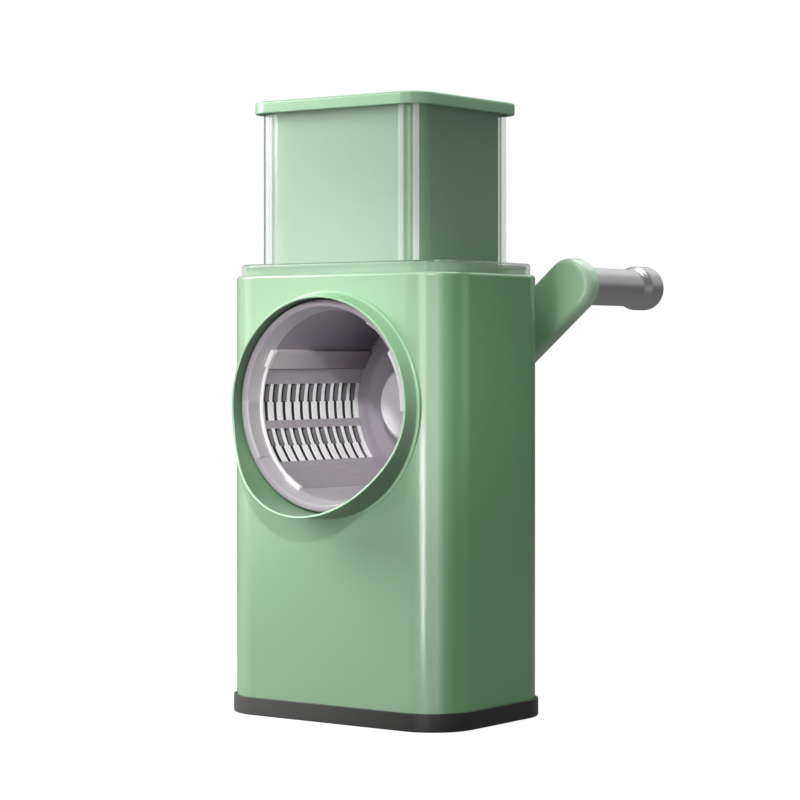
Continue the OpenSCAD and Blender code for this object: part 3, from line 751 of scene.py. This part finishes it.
FEED_HALF = Vector((46.3, 37.8, 0))
axis_point = Vector((0, 0, AXIS_Z))
collar = make_sleeve()
draw_spout(collar)
lay_on_axis(collar)
feed = round_block("feed", axis_point - FEED_HALF, axis_point + FEED_HALF + Vector((0, 0, 60)),
                   1, 2)
cut(collar, feed)
smooth(collar, 40)
hand_over(collar, SATIN_GREEN, "stand", "housing_green", "drum_sleeve")
shade_faces(collar, collar_finish, BORE_GREEN, INSIDE_GREEN, OUTSIDE_GREEN)

# %% [markdown]
# The sleeve's back is a flat disc with a boss for the bushing. It closes the dark space behind
# the drum. It is turned on its own and not with the collar, because it needs only half as many
# sides.

# %% Sleeve back
def make_sleeve_back():
    back, front = SLEEVE_BACK, SLEEVE_BACK + BACK_WALL
    section = [(SHAFT_HOLE_R, back), (BORE_R - 0.05, back), (BORE_R - 0.05, front)]
    section += [(11.5, front), (11, front + 0.5), (11, front + 2.0), (10.8, front + 2.2)]
    section += [(SHAFT_HOLE_R, front + 2.2)]
    return turned("sleeve_back", section, 96)


sleeve_back = lay_on_axis(make_sleeve_back())
smooth(sleeve_back)
hand_over(sleeve_back, GREEN, "stand", "housing_green")

# %% [markdown]
# The hopper is one clear moulding: an upright tube and a flange that covers the housing's top.
# Both start as bevelled blocks, the tube without its two end faces and the flange without its
# lower one, and Solidify gives them a wall. Two clear shells that cross would show their walls
# inside each other, so a core cuts the tube's place out of the flange, and a union makes them
# one. An arch is cut out of the tube where it straddles the sleeve.

# %% Tube and flange
FLANGE_TOP = 213.0
FLANGE_EDGE = 1.2
FLANGE_CORNER = high("hopper")
SINK = 0.5
BEYOND = FACE + 30


def make_tube():
    piece = round_block("hopper_tube", (-TUBE_W / 2, -TUBE_D / 2, AXIS_Z),
                        (TUBE_W / 2, TUBE_D / 2, high("hopper").z), HOPPER_R, 12)
    return open_shell(piece, lambda c, n: abs(n.z) > 0.9, HOPPER_WALL)


def make_flange():
    wide, deep = FLANGE_CORNER.x, FLANGE_CORNER.y
    piece = round_block("hopper_flange", (-wide, -deep, high("housing").z + 0.05),
                        (wide, deep, FLANGE_TOP), FLANGE_R, 14)
    bevel_level(piece, FLANGE_TOP, FLANGE_EDGE, 4)
    return open_shell(piece, lambda c, n: n.z < -0.9, HOPPER_WALL)


# %% Hopper
tube = make_tube()
core = round_block("hopper_core", (-TUBE_W / 2 + SINK, -TUBE_D / 2 + SINK, AXIS_Z),
                   (TUBE_W / 2 - SINK, TUBE_D / 2 - SINK, 260), HOPPER_R - SINK, 12)
hopper = make_flange()
cut(hopper, core)
cut(hopper, tube, "UNION")
cut(hopper, axis_cylinder("hopper_arch", SLEEVE_R + GAP, BEYOND, -BEYOND))
hopper.name = "hopper_moulding"
smooth(hopper)
hand_over(hopper, CLEAR, "stand", "hopper_clear", "hopper")

# %% Finishes of the hopper's faces
LEFT_EDGE = Vector((-0.8, -0.6, 0))
NEAR_GLINT_TURN = (1, 15)
FAR_GLINT_TURN = (37, 52)


def corner_finish(normal):
    """Painted highlight where the near corner of the tube bends from its front to its side, or
    None.
    """
    turn = math.degrees(math.atan2(normal.x, -normal.y))
    if NEAR_GLINT_TURN[0] < turn < NEAR_GLINT_TURN[1]:
        return GLINT_CLEAR
    if FAR_GLINT_TURN[0] < turn < FAR_GLINT_TURN[1]:
        return FAR_GLINT
    return None


# The dark edges and the darker right wall are partly painted shade, and the near corner takes its
# painted highlights.
def hopper_finish(place, normal):
    if place.z < FLANGE_TOP + 0.1:
        outer = max(abs(place.x) / FLANGE_CORNER.x, abs(place.y) / FLANGE_CORNER.y)
        return EDGE_CLEAR if 0.3 < normal.z < 0.95 and outer > 0.9 else FLANGE_CLEAR
    on_corner = place.x > TUBE_W / 2 - HOPPER_R and -place.y > TUBE_D / 2 - HOPPER_R
    if on_corner and corner_finish(normal):
        return corner_finish(normal)
    if place.x > TUBE_W / 2 - HOPPER_WALL - 0.1:
        return SIDE_CLEAR
    return EDGE_CLEAR if normal.dot(LEFT_EDGE) > 0.935 else CLEAR


shade_faces(hopper, hopper_finish, FLANGE_CLEAR, EDGE_CLEAR, SIDE_CLEAR, GLINT_CLEAR, FAR_GLINT)

# %% [markdown]
# The pusher slides in the hopper. Its block follows the inside of the tube, and an arch that
# clears the drum is cut out of it with a cylinder on the drum's axis, so the two can't disagree.
# The cap is a flat lid whose rim turns down over the hopper. Its hollow is an inset face that is
# pushed up, as the boot's pocket is pushed down.

# %% Pusher block
ARCH_GAP = 2.6


def make_pusher_block():
    piece = round_block("pusher_skin", (low("pusher_block").x, low("pusher_block").y, AXIS_Z),
                        high("pusher_block"), HOPPER_R - HOPPER_WALL - 1.2, 12)
    cut(piece, axis_cylinder("pusher_arch", RING_R + ARCH_GAP, BEYOND, -BEYOND))
    return piece


pusher = make_pusher_block()
smooth(pusher)
hand_over(pusher, PUSHER_GREEN, "pusher", "housing_green", "pusher_block")

# %% Pusher cap
CAP_WALL = 1.7
CAP_HOLLOW = 3.2


def make_cap():
    bottom, top = low("pusher_cap"), high("pusher_cap")
    piece = round_block("pusher_lid", bottom, top, CAP_R, 14)
    bevel_level(piece, top.z, 1.3, 5)
    bevel_level(piece, bottom.z, 0.5, 2)
    open_edit(piece)
    pick_faces(piece, lambda c, n: n.z < -0.99)
    bpy.ops.mesh.inset(thickness=CAP_WALL * MM)
    bpy.ops.mesh.extrude_region_move(TRANSFORM_OT_translate={"value": (0, 0, CAP_HOLLOW * MM)})
    close_edit()
    return piece


cap = make_cap()
smooth(cap)
hand_over(cap, CAP_GREEN, "pusher", "housing_green", "pusher_cap")

# %% [markdown]
# The drum's frame is grey plastic: a front ring, a step down to the long wall, and two open
# windows that the steel sheets cover. The windows could be cut out of one tube, but each part of
# the frame is rounded in its own way. So the rings are turned whole, and what stands between
# them is a set of stretches of turned tubes.

# %% Drum ring and rear ring
RING_FRONT = FACE + 3.6
RING_BACK = RING_FRONT - 10
WALL_R = 47.0
WALL_BACK = -high("drum_frame").y
SHEET_BACK = WALL_BACK + 0.8
SHEET_IN = SHEET_R - SHEET_T
print(f"drum runs from {WALL_BACK:.1f} to {RING_FRONT:.1f} mm")


def make_ring():
    section = [(SHEET_IN - 0.1, RING_BACK + 0.5), (SHEET_IN - 0.1, RING_BACK)]
    section += [(RING_R - 0.6, RING_BACK), (RING_R, RING_BACK + 0.6)]
    section += arc((RING_R - 1.2, RING_FRONT - 1.2), 1.2, 0, 90, 5)
    section += arc((RING_IN + 1.0, RING_FRONT - 1.0), 1.0, 90, 180, 5)
    return turned("drum_ring", section, 192)


def make_rear_ring():
    section = [(SHEET_R + 0.1, WALL_BACK), (WALL_R, WALL_BACK), (WALL_R, SHEET_BACK + 1)]
    section += [(SHEET_R + 0.1, SHEET_BACK + 1)]
    return turned("drum_rear_ring", section, 128)


# Painted shade: the ring's front face takes a darker grey than the rest of the ring.
def ring_finish(place, normal):
    in_front = normal.y < -0.7 and place.y < -RING_FRONT + 1
    return RING_GREY if in_front else DRUM_GREY


ring = lay_on_axis(make_ring())
smooth(ring, 40)
hand_over(ring, DRUM_GREY, "rotor", "drum_grey", "drum_frame")
shade_faces(ring, ring_finish, RING_GREY)
rear_ring = lay_on_axis(make_rear_ring())
smooth(rear_ring)
hand_over(rear_ring, DRUM_GREY, "rotor", "drum_grey")


# %% [markdown]
# Each sheet has a smooth wall over it, a narrow seat under it, a bar along its upper edge, and
# behind the ring a pale lip with a tab at each end. A lug on the ring gives the fingers a hold for
# pulling the drum out. All are stretches of a tube between two angles, so one helper makes
# them, and a second one copies them to the other sheet.

# %% Stretches of a tube
def sector(name, section, start, stop, edge=0.0):
    piece = turned(name, section, 192)
    keep_sector(piece, math.radians(start), math.radians(stop))
    if edge:
        modify(piece, "BEVEL", width=edge * MM, segments=3, limit_method="ANGLE",
               angle_limit=math.radians(50))
    return lay_on_axis(piece)


def tube_section(outer, inner, back, front):
    return [(inner, back), (outer, back), (outer, front), (inner, front)]


def each_span(piece, first=DRUM_GREY, other=None):
    smooth(piece, 40)
    twins = [copy_turned(piece, f"{piece.name}_{i + 1}", SPAN * i) for i in range(1, SPANS)]
    hand_over(piece, first, "rotor", "drum_grey")
    for twin in twins:
        hand_over(twin, other or first, "rotor", "drum_grey")


# %% Walls, seats and bars between the rings
WALL_ENDS = (SHEET_BACK + 1, RING_BACK + 0.5)

# Painted shade: the upper copy of the wall takes the grey that runs darker towards the back, and
# the lower copy the plain grey. The bars take a grey that runs darker towards the back.
each_span(sector("drum_rib", tube_section(WALL_R, SHEET_IN, *WALL_ENDS), 62.3, 157.7),
          WALL_GREY, DRUM_GREY)
each_span(sector("drum_seat", tube_section(WALL_R, SHEET_R + 0.1, *WALL_ENDS), 222.2, 242.2))
each_span(sector("drum_bar", tube_section(SHEET_IN + 0.5, SHEET_IN - 1.4, WALL_ENDS[0],
                                          RING_BACK + 0.4), 144, 157, 0.9), BAR_GREY)

# %% Lips, tabs and lugs at the ring
LIP_OUT = RING_IN + 0.2

for name, inner, back, front, start, stop, edge in (
        ("drum_lip", SHEET_IN - 1.3, 0.1, 1.5, 147, 241, 0.4),
        ("lip_tab_upper", SHEET_IN - 2.0, 0.2, 2.8, 144.5, 156, 0.9),
        ("lip_tab_lower", SHEET_IN - 1.8, 0.2, 2.6, 230, 243, 0.9)):
    section = tube_section(LIP_OUT, inner, RING_BACK + back, RING_BACK + front)
    each_span(sector(name, section, start, stop, edge), LIP_GREY)
each_span(sector("drum_lug", tube_section(RING_R - 0.9, RING_IN - 1.4, RING_BACK + 2.0,
                                          RING_FRONT + 0.45), 177, 213.5, 1.4))


# %% [markdown]
# The back of the drum is a cone that points at the outlet and drives the drum through a hexagon
# on the shaft. In the photo a round hub catches the light in front of a darker disc with a raised
# plate. The half section has all these steps, because a smooth cone would show one gradient and
# no edges.

# %% Drum cone
PLATE_R = 24.5


def make_cone():
    rim = SHEET_IN - 0.1
    nose = -low("drum_back").y
    end = -high("drum_back").y
    disc = SHEET_BACK
    section = [(0.01, nose - 2), (0.01, nose), (13, nose - 0.3), (18, nose - 1.3)]
    section += [(20, nose - 3.4), (21.4, nose - 8), (23.4, disc + 6.4), (26.5, disc + 5.5)]
    section += [(33.5, disc + 4.9), (36.5, disc + 4.0), (rim, disc)]
    section += [(rim, WALL_BACK - 0.1), (WALL_R, WALL_BACK - 0.1)]
    section += [(WALL_R, end), (41.4, end), (40.5, disc - 1.2), (35.5, disc + 2.8)]
    section += [(33.2, disc + 3.7), (25.5, disc + 4.3), (21.6, disc + 5.4), (19.6, nose - 8)]
    section += [(18, nose - 3.8), (16, nose - 2)]
    print(f"nose {nose:.1f}, disc {disc:.1f}, end {end:.1f}")
    return turned("drum_cone", section, 128)


# Painted light and shade: the hub is painted nearly white and the disc around it darker.
def cone_finish(place, normal):
    return DISC_GREY if math.hypot(place.x, place.z - AXIS_Z) > PLATE_R else CONE_GREY


cone = lay_on_axis(make_cone())
smooth(cone)
hand_over(cone, CONE_GREY, "rotor", "drum_grey", "drum_back")
shade_faces(cone, cone_finish, DISC_GREY)

# %% [markdown]
# The cutting sheets are the piece to look at. Each is a thin steel sheet with two rows of slots,
# and behind every slot the steel is pushed outwards into a tooth with a step halfway. Booleans
# on a round sheet would leave ragged edges at 44 slots. So a sheet is modelled flat, as it is
# stamped: lines are cut across it where slots and teeth begin and end, and the faces in the
# slots are deleted.

# %% Lines of the flat sheet
SLOTS = 11
SLOT_W = 3.2
SLOT_STEP = 1.0
SLOTS_FRONT = RING_BACK - 2.4
SLOTS_BACK = SHEET_BACK + 0.9
PITCH = (SLOTS_FRONT + 1.7 - SLOTS_BACK) / SLOTS
ROW_ANGLES = (167.5, 195.0)
ROW_SPAN = 22.5
SHEET_ANGLES = (158.0, 242.0)
HALF_SPAN = ROW_SPAN / 2
TOOTH_RISE = 0.9
TOOTH_BEND = 1.15
WEB_TILT = 0.12
ROW_LINES = (0, 0.9, HALF_SPAN - 0.5, HALF_SPAN, HALF_SPAN + 0.5, ROW_SPAN - 0.9, ROW_SPAN)


def arc_mm(degrees):
    return math.radians(degrees) * SHEET_R


def grid_lines():
    """Lines of the flat sheet: across the roll in mm of arc, and along the drum."""
    across = [arc_mm(a) for a in SHEET_ANGLES]
    for start in ROW_ANGLES:
        across += [arc_mm(start + angle) for angle in ROW_LINES]
    along = [SHEET_BACK + 0.1, RING_BACK - 0.2]
    for i in range(SLOTS):
        for step in (0, SLOT_STEP):
            front = SLOTS_FRONT - i * PITCH + SLOT_W / 2 - step
            along += [front, front - SLOT_W]
        along.append(front + SLOT_STEP - SLOT_W - TOOTH_BEND)
    return sorted(across), sorted(along)


# %% Flat sheet with its slots
def make_flat_sheet():
    across, along = grid_lines()
    centre = ((across[0] + across[-1]) / 2 * MM, (along[0] + along[-1]) / 2 * MM, 0)
    bpy.ops.mesh.primitive_plane_add(size=1, location=centre)
    piece = bpy.context.active_object
    piece.name = "cutting_sheet"
    piece.scale = ((across[-1] - across[0]) * MM, (along[-1] - along[0]) * MM, 1)
    apply_place(piece)
    open_edit(piece, "FACE")
    for place in across[1:-1]:
        bpy.ops.mesh.select_all(action="SELECT")
        bpy.ops.mesh.bisect(plane_co=(place * MM, 0, 0), plane_no=(1, 0, 0))
    for place in along[1:-1]:
        bpy.ops.mesh.select_all(action="SELECT")
        bpy.ops.mesh.bisect(plane_co=(0, place * MM, 0), plane_no=(0, 1, 0))
    close_edit()
    return piece


def in_slot(centre):
    """True where the flat sheet has a slot: its lower half is stepped back."""
    degrees = math.degrees(centre.x / SHEET_R)
    for start in ROW_ANGLES:
        if start < degrees < start + ROW_SPAN:
            shift = SLOT_STEP if degrees > start + HALF_SPAN else 0
            for i in range(SLOTS):
                if abs(centre.y - (SLOTS_FRONT - i * PITCH - shift)) < SLOT_W / 2:
                    return True
    return False


sheet = make_flat_sheet()
open_edit(sheet, "FACE")
pick_faces(sheet, lambda c, n: in_slot(c))
bpy.ops.mesh.delete(type="FACE")
close_edit()
print("flat sheet:", len(sheet.data.polygons), "faces")

# %% [markdown]
# The webs between the slots are ground bright, partly a painted sheen, and the strip behind each
# slot is where the punch pushes the steel out; it is painted nearly black as a painted shadow.
# Faces are marked with their finish while the sheet is still flat and its rows are still straight,
# and they keep the mark through everything that follows.

# %% Finishes marked on the flat sheet
# The punched faces take the painted shadow.
SHEET_FINISHES = (SHEET_STEEL, TOOTH_STEEL, PUNCHED_SHADOW_STEEL)
PLAIN, GROUND, PUNCHED = range(len(SHEET_FINISHES))


def tooth_finish(centre):
    degrees = math.degrees(centre.x / SHEET_R)
    for start in ROW_ANGLES:
        inside = degrees - start
        if 0 < inside < ROW_SPAN:
            upper = inside < HALF_SPAN - 0.1
            behind = (SLOTS_FRONT - SLOT_W / 2 - centre.y) % PITCH
            return PUNCHED if upper and behind < TOOTH_BEND else GROUND
    return PLAIN


for face in sheet.data.polygons:
    face.material_index = tooth_finish(face.center / MM)
marks = [face.material_index for face in sheet.data.polygons]
print("plain, ground and punched faces:", [marks.count(mark) for mark in (PLAIN, GROUND, PUNCHED)])


# %% [markdown]
# The teeth are raised by moving points. Then the sheet is divided finely enough to roll, gets
# its thickness, and is rolled to the drum's radius point by point, because the bend operator
# needs a window. Rolling comes last, so that the teeth could be drawn straight.

# %% Raised teeth and rolling
def web_place(along, shift):
    """Where a line lies on its web: 0 at the slot in front of it, 1 at the slot behind."""
    first = SLOTS_FRONT - SLOT_W / 2 - shift
    web = PITCH - SLOT_W
    behind = (first - along) % PITCH
    if along > first + 0.01 or along < first - (SLOTS - 1) * PITCH - web - 0.01:
        return None
    if behind > PITCH - 0.01:
        behind = 0
    return behind / web if behind < web + 0.01 else None


def raise_teeth(piece):
    """Bends each web's front edge out in its upper half, and tilts the webs to the front."""
    for vertex in piece.data.vertices:
        degrees = math.degrees(vertex.co.x / MM / SHEET_R)
        for start in ROW_ANGLES:
            inside = degrees - start
            if not 0.8 < inside < ROW_SPAN - 0.8:
                continue
            upper = inside < HALF_SPAN - 0.1
            share = web_place(vertex.co.y / MM, 0 if upper else SLOT_STEP)
            if share is None:
                continue
            rise = WEB_TILT * (1 - 2 * share)
            if upper and share < 0.05:
                rise = TOOTH_RISE
            vertex.co.z += rise * MM


def roll_up(piece):
    for vertex in piece.data.vertices:
        angle = vertex.co.x / MM / SHEET_R
        radius = SHEET_R * MM + vertex.co.z
        vertex.co = (radius * math.cos(angle), radius * math.sin(angle), vertex.co.y)


# %% Finished sheets
raise_teeth(sheet)
modify(sheet, "SUBSURF", levels=2, render_levels=2, subdivision_type="SIMPLE")
modify(sheet, "SOLIDIFY", thickness=SHEET_T * MM, offset=-1)
roll_up(sheet)
lay_on_axis(sheet)
smooth(sheet, 40)
marks = [face.material_index for face in sheet.data.polygons]
sheets = [sheet] + [copy_turned(sheet, f"cutting_sheet_{number + 1}", SPAN * number)
                    for number in range(1, SPANS)]
hand_over(sheet, SHEET_STEEL, "rotor", "sheet_steel", "cutting_sheets")
for twin in sheets[1:]:
    hand_over(twin, SHEET_STEEL, "rotor", "sheet_steel")
for piece in sheets:
    for material in SHEET_FINISHES[1:]:
        piece.data.materials.append(material)
    piece.data.polygons.foreach_set("material_index", marks)

# %% [markdown]
# The crank arm is a flat bar with round ends and soft edges, and a boss that reaches to the
# housing. The bar is a block whose corners are rounded until its ends are nearly half circles. It
# is made lying along X and then turned to the crank's angle, because edges can only be picked by
# height while it lies flat. The boss is turned and joined to it, and a recess takes the screw.

# %% Crank bar
ARM_W = 25.8
ARM_EDGE = 3.4
ARM_BACK = high("crank_arm").y
ARM_T = 11.8
BOSS_FRONT = low("crank_arm").y
END_INSET = 0.05


def lay_on_crank(piece):
    """From arm coordinates, +X to the grip and +Z out of the back, to the frame."""
    about = Matrix.Translation((0, 0, AXIS_Z * MM))
    piece.data.transform(about @ Matrix.Rotation(-CRANK_ANGLE, 4, "Y")
                         @ Matrix.Rotation(math.radians(-90), 4, "X"))
    return piece


def make_arm():
    half = ARM_W / 2
    end = CRANK_R + half - END_INSET
    piece = round_block("crank_bar", (-half, -half, ARM_BACK - ARM_T), (end, half, ARM_BACK),
                        half - GAP, 24)
    bevel_level(piece, ARM_BACK, ARM_EDGE, 6)
    bevel_level(piece, ARM_BACK - ARM_T, ARM_EDGE, 6)
    return piece


# %% Boss and recess
BOSS_R = 12.7
RECESS_R = 8
RECESS_DEPTH = 4.4

arm = lay_on_crank(make_arm())
boss_section = [(0.01, -BOSS_FRONT), (BOSS_R - 0.6, -BOSS_FRONT), (BOSS_R, -BOSS_FRONT - 0.6)]
boss_section += [(BOSS_R, -ARM_BACK + 6), (0.01, -ARM_BACK + 6)]
boss = lay_on_axis(turned("arm_boss", boss_section, 90))
cut(arm, boss, "UNION")
cut(arm, axis_cylinder("arm_recess", RECESS_R, -ARM_BACK + RECESS_DEPTH, -ARM_BACK - 3, 64))
smooth(arm)
hand_over(arm, ARM_GREEN, "rotor", "housing_green", "crank_arm")

# %% [markdown]
# The grip is turned from one bar: a straight barrel that swells into a rounded knob. Two arcs
# that meet at the same slope make the swell, because a straight step between them would catch
# the light as a hard ring.

# %% Handle grip
BARREL_R = 9.1
KNOB_R = 10.9
GRIP_BORE = 4
PLUG_R = 6


def make_grip():
    length = high("handle_grip").y - low("handle_grip").y
    section = [(GRIP_BORE, 0), (BARREL_R - 0.8, 0)]
    section += arc((BARREL_R - 0.8, 0.8), 0.8, -90, 0, 4)
    section += [(BARREL_R, length - 20)]
    section += arc((BARREL_R + 6, length - 19.5), 6, 180, 150, 5)
    section += arc((KNOB_R - 6, length - 12.5), 6, -30, 0, 5)
    section += arc((KNOB_R - 4.5, length - 4.5), 4.5, 0, 90, 8)
    section += [(PLUG_R, length), (PLUG_R, length - 6), (GRIP_BORE, length - 6)]
    return turned("grip_barrel", section, 96)


grip = lay_on_grip(make_grip(), low("handle_grip").y)
smooth(grip, 50)
hand_over(grip, GRIP_METAL, "grip", "grip_silver", "handle_grip")

# %% [markdown]
# Screws, shaft, washers, plate and caps only peep out, or can't be seen at all. Their shapes in
# the frame are right, so nothing is modelled again, and each gets the finish of its material.

# %% Finishes of the frame's own pieces
KEPT = {
    "base_plate": BOOT_RUBBER,
    "base_screws": BRIGHT_STEEL,
    "sleeve_screws": BRIGHT_STEEL,
    "shaft_bushing": BEARING_WHITE,
    "thrust_washer": BEARING_WHITE,
    "drive_shaft": BRIGHT_STEEL,
    "shaft_clip": BRIGHT_STEEL,
    "arm_screw": BRIGHT_STEEL,
    "arm_cap": GREEN,
    "grip_pin": BRIGHT_STEEL,
    "grip_washer": BEARING_WHITE,
    "grip_end_cap": GRIP_METAL,
}
for node, material in KEPT.items():
    piece = frame["nodes"][node]
    piece.data.materials.clear()
    piece.data.materials.append(material)
print("kept from the frame:", len(KEPT))

# %% [markdown]
# The set is a wide pale floor and an even white surround. Turning the lamps up until both are
# white would bleach the object. So they are white only to the camera and through the clear
# plastic, by way of Light Path, and cost no light on the object. A gloss sees a tenth of that
# white, because the photo's dark sides and its grip mirror a much darker room.

# %% How white the surround is
GLOSS_SHARE = 0.1


def white_share(tree, path):
    """1 where the camera or a clear piece looks at the surround, less where a gloss mirrors it."""
    gloss = tree.nodes.new("ShaderNodeMath")
    gloss.operation = "MULTIPLY"
    gloss.inputs[1].default_value = GLOSS_SHARE
    clear = tree.nodes.new("ShaderNodeMath")
    clear.operation = "MAXIMUM"
    share = tree.nodes.new("ShaderNodeMath")
    share.operation = "MAXIMUM"
    tree.links.new(path.outputs["Is Glossy Ray"], gloss.inputs[0])
    tree.links.new(path.outputs["Is Camera Ray"], clear.inputs[0])
    tree.links.new(path.outputs["Is Transmission Ray"], clear.inputs[1])
    tree.links.new(gloss.outputs["Value"], share.inputs[0])
    tree.links.new(clear.outputs["Value"], share.inputs[1])
    return share.outputs["Value"]


# %% Floor
FLOOR_GLOW = 0.9
FLOOR_FADE = (0.25, 0.9)


def floor_material():
    """Pale paper that the camera sees as nearly white, fading to pure white further out."""
    material, tree, shader = new_material("floor_paper", (0.15, 0.15, 0.15), 0.9,
                                          Specular_IOR_Level=0.1)
    coordinates = tree.nodes.new("ShaderNodeTexCoord")
    distance = tree.nodes.new("ShaderNodeVectorMath")
    distance.operation = "LENGTH"
    spread = tree.nodes.new("ShaderNodeMapRange")
    spread.inputs["From Min"].default_value = FLOOR_FADE[0]
    spread.inputs["From Max"].default_value = FLOOR_FADE[1]
    path = tree.nodes.new("ShaderNodeLightPath")
    glow = tree.nodes.new("ShaderNodeEmission")
    glow.inputs["Strength"].default_value = FLOOR_GLOW
    white = tree.nodes.new("ShaderNodeEmission")
    white.inputs["Strength"].default_value = 1.0
    lit = tree.nodes.new("ShaderNodeAddShader")
    near = tree.nodes.new("ShaderNodeMixShader")
    seen = tree.nodes.new("ShaderNodeMixShader")
    tree.links.new(coordinates.outputs["Object"], distance.inputs[0])
    tree.links.new(distance.outputs["Value"], spread.inputs["Value"])
    tree.links.new(shader.outputs["BSDF"], lit.inputs[0])
    tree.links.new(glow.outputs["Emission"], lit.inputs[1])
    tree.links.new(spread.outputs["Result"], near.inputs["Fac"])
    tree.links.new(lit.outputs["Shader"], near.inputs[1])
    tree.links.new(white.outputs["Emission"], near.inputs[2])
    tree.links.new(white_share(tree, path), seen.inputs["Fac"])
    tree.links.new(shader.outputs["BSDF"], seen.inputs[1])
    tree.links.new(near.outputs["Shader"], seen.inputs[2])
    tree.links.new(seen.outputs["Shader"], tree.nodes["Material Output"].inputs["Surface"])
    return material


bpy.ops.mesh.primitive_plane_add(size=8, location=(0, 0, 0))
floor = bpy.context.active_object
floor.name = "floor"
floor.data.materials.append(floor_material())
print("floor:", [round(side, 1) for side in floor.dimensions])


# %% World
WORLD_STRENGTH = 0.09


def make_world():
    world = bpy.data.worlds.new("studio")
    bpy.context.scene.world = world
    world.use_nodes = True
    tree = world.node_tree
    shade = tree.nodes["Background"]
    shade.inputs["Color"].default_value = (0.8, 0.8, 0.8, 1)
    shade.inputs["Strength"].default_value = WORLD_STRENGTH
    white = tree.nodes.new("ShaderNodeBackground")
    white.inputs["Strength"].default_value = 1.0
    white.inputs["Color"].default_value = (1, 1, 1, 1)
    mix = tree.nodes.new("ShaderNodeMixShader")
    path = tree.nodes.new("ShaderNodeLightPath")
    tree.links.new(white_share(tree, path), mix.inputs["Fac"])
    tree.links.new(shade.outputs["Background"], mix.inputs[1])
    tree.links.new(white.outputs["Background"], mix.inputs[2])
    tree.links.new(mix.outputs["Shader"], tree.nodes["World Output"].inputs["Surface"])


make_world()
print("world strength", WORLD_STRENGTH)

# %% [markdown]
# One large lamp would light every side alike. A product photographer uses many small soft ones,
# and so does this set. The key stands at the left and gives the outlet's side its shade from
# top to bottom, with a wide veil behind it. Tall panels at the front are what the glossy near
# corner mirrors as its streaks, and low ones carry the streaks down to the base. Two cards brush
# the arm and the grip, two panels fill in from above, and two keep the back from going black.
# A narrow snoot, at last, reaches into the drum.

# %% Lamp helpers
def place_lamp(lamp, place, target):
    holder = bpy.data.objects.new(lamp.name, lamp)
    holder.location = place
    aim = Vector(target) - Vector(place)
    holder.rotation_euler = aim.to_track_quat("-Z", "Y").to_euler()
    bpy.context.scene.collection.objects.link(holder)


def add_panel(name, place, target, size, power):
    lamp = bpy.data.lights.new(name, "AREA")
    lamp.shape = "RECTANGLE"
    lamp.size, lamp.size_y = size
    lamp.energy = power
    place_lamp(lamp, place, target)


def add_snoot(name, place, target, power, spread):
    lamp = bpy.data.lights.new(name, "SPOT")
    lamp.energy = power
    lamp.spot_size = math.radians(spread)
    lamp.spot_blend = 0.5
    lamp.shadow_soft_size = 0.06
    place_lamp(lamp, place, target)


# %% Lamps: place, what they look at, width and height in metres, power in watts
LOW_CORNER = (0.062, -0.04, 0.065)
CRANK_SIDE = (0.16, 0.1, 0.2)
PANELS = {
    "key": ((-0.5, -0.3, 0.46), (0, 0, 0.17), (0.3, 0.35), 4.9),
    "front_left": ((-1.35, -1.1, 0.2), (0, 0, 0.2), (1.2, 0.38), 1.6),
    "streak": ((0.36, -1.5, 0.35), (0, 0, 0.12), (0.42, 1.1), 4.2),
    "streak_low": ((0.13, -0.38, 0.065), LOW_CORNER, (0.05, 0.13), 0.19),
    "front_right": ((1.09, -1.14, 0.3), (0, 0, 0.12), (0.6, 0.9), 1.2),
    "right_low": ((0.3, -0.296, 0.065), LOW_CORNER, (0.2, 0.13), 0.06),
    "arm_card": ((0.55, -0.2, 0.2), CRANK_SIDE, (0.25, 0.6), 0.11),
    "grip_card": ((0.55, 0.3, 0.2), CRANK_SIDE, (0.25, 0.2), 0.07),
    "top_front": ((0.12, -0.7, 1.1), (0, 0, 0.15), (0.4, 0.4), 2.8),
    "overhead": ((0.1, 0.35, 1.3), (0, 0.05, 0.2), (0.9, 0.7), 9),
    "rear": ((-0.25, 1.25, 0.95), (0.05, 0.1, 0.2), (1.0, 0.5), 1.9),
    "rear_right": ((0.6, 1.5, 0.8), (0.15, 0.1, 0.2), (1.2, 0.7), 1.3),
}
for name, settings in PANELS.items():
    add_panel(name, *settings)
add_snoot("drum_snoot", (0.72, -1.1, 0.72), (-0.012, -0.03, 0.1465), 105, 4.2)
print("lamps:", len(bpy.data.lights))
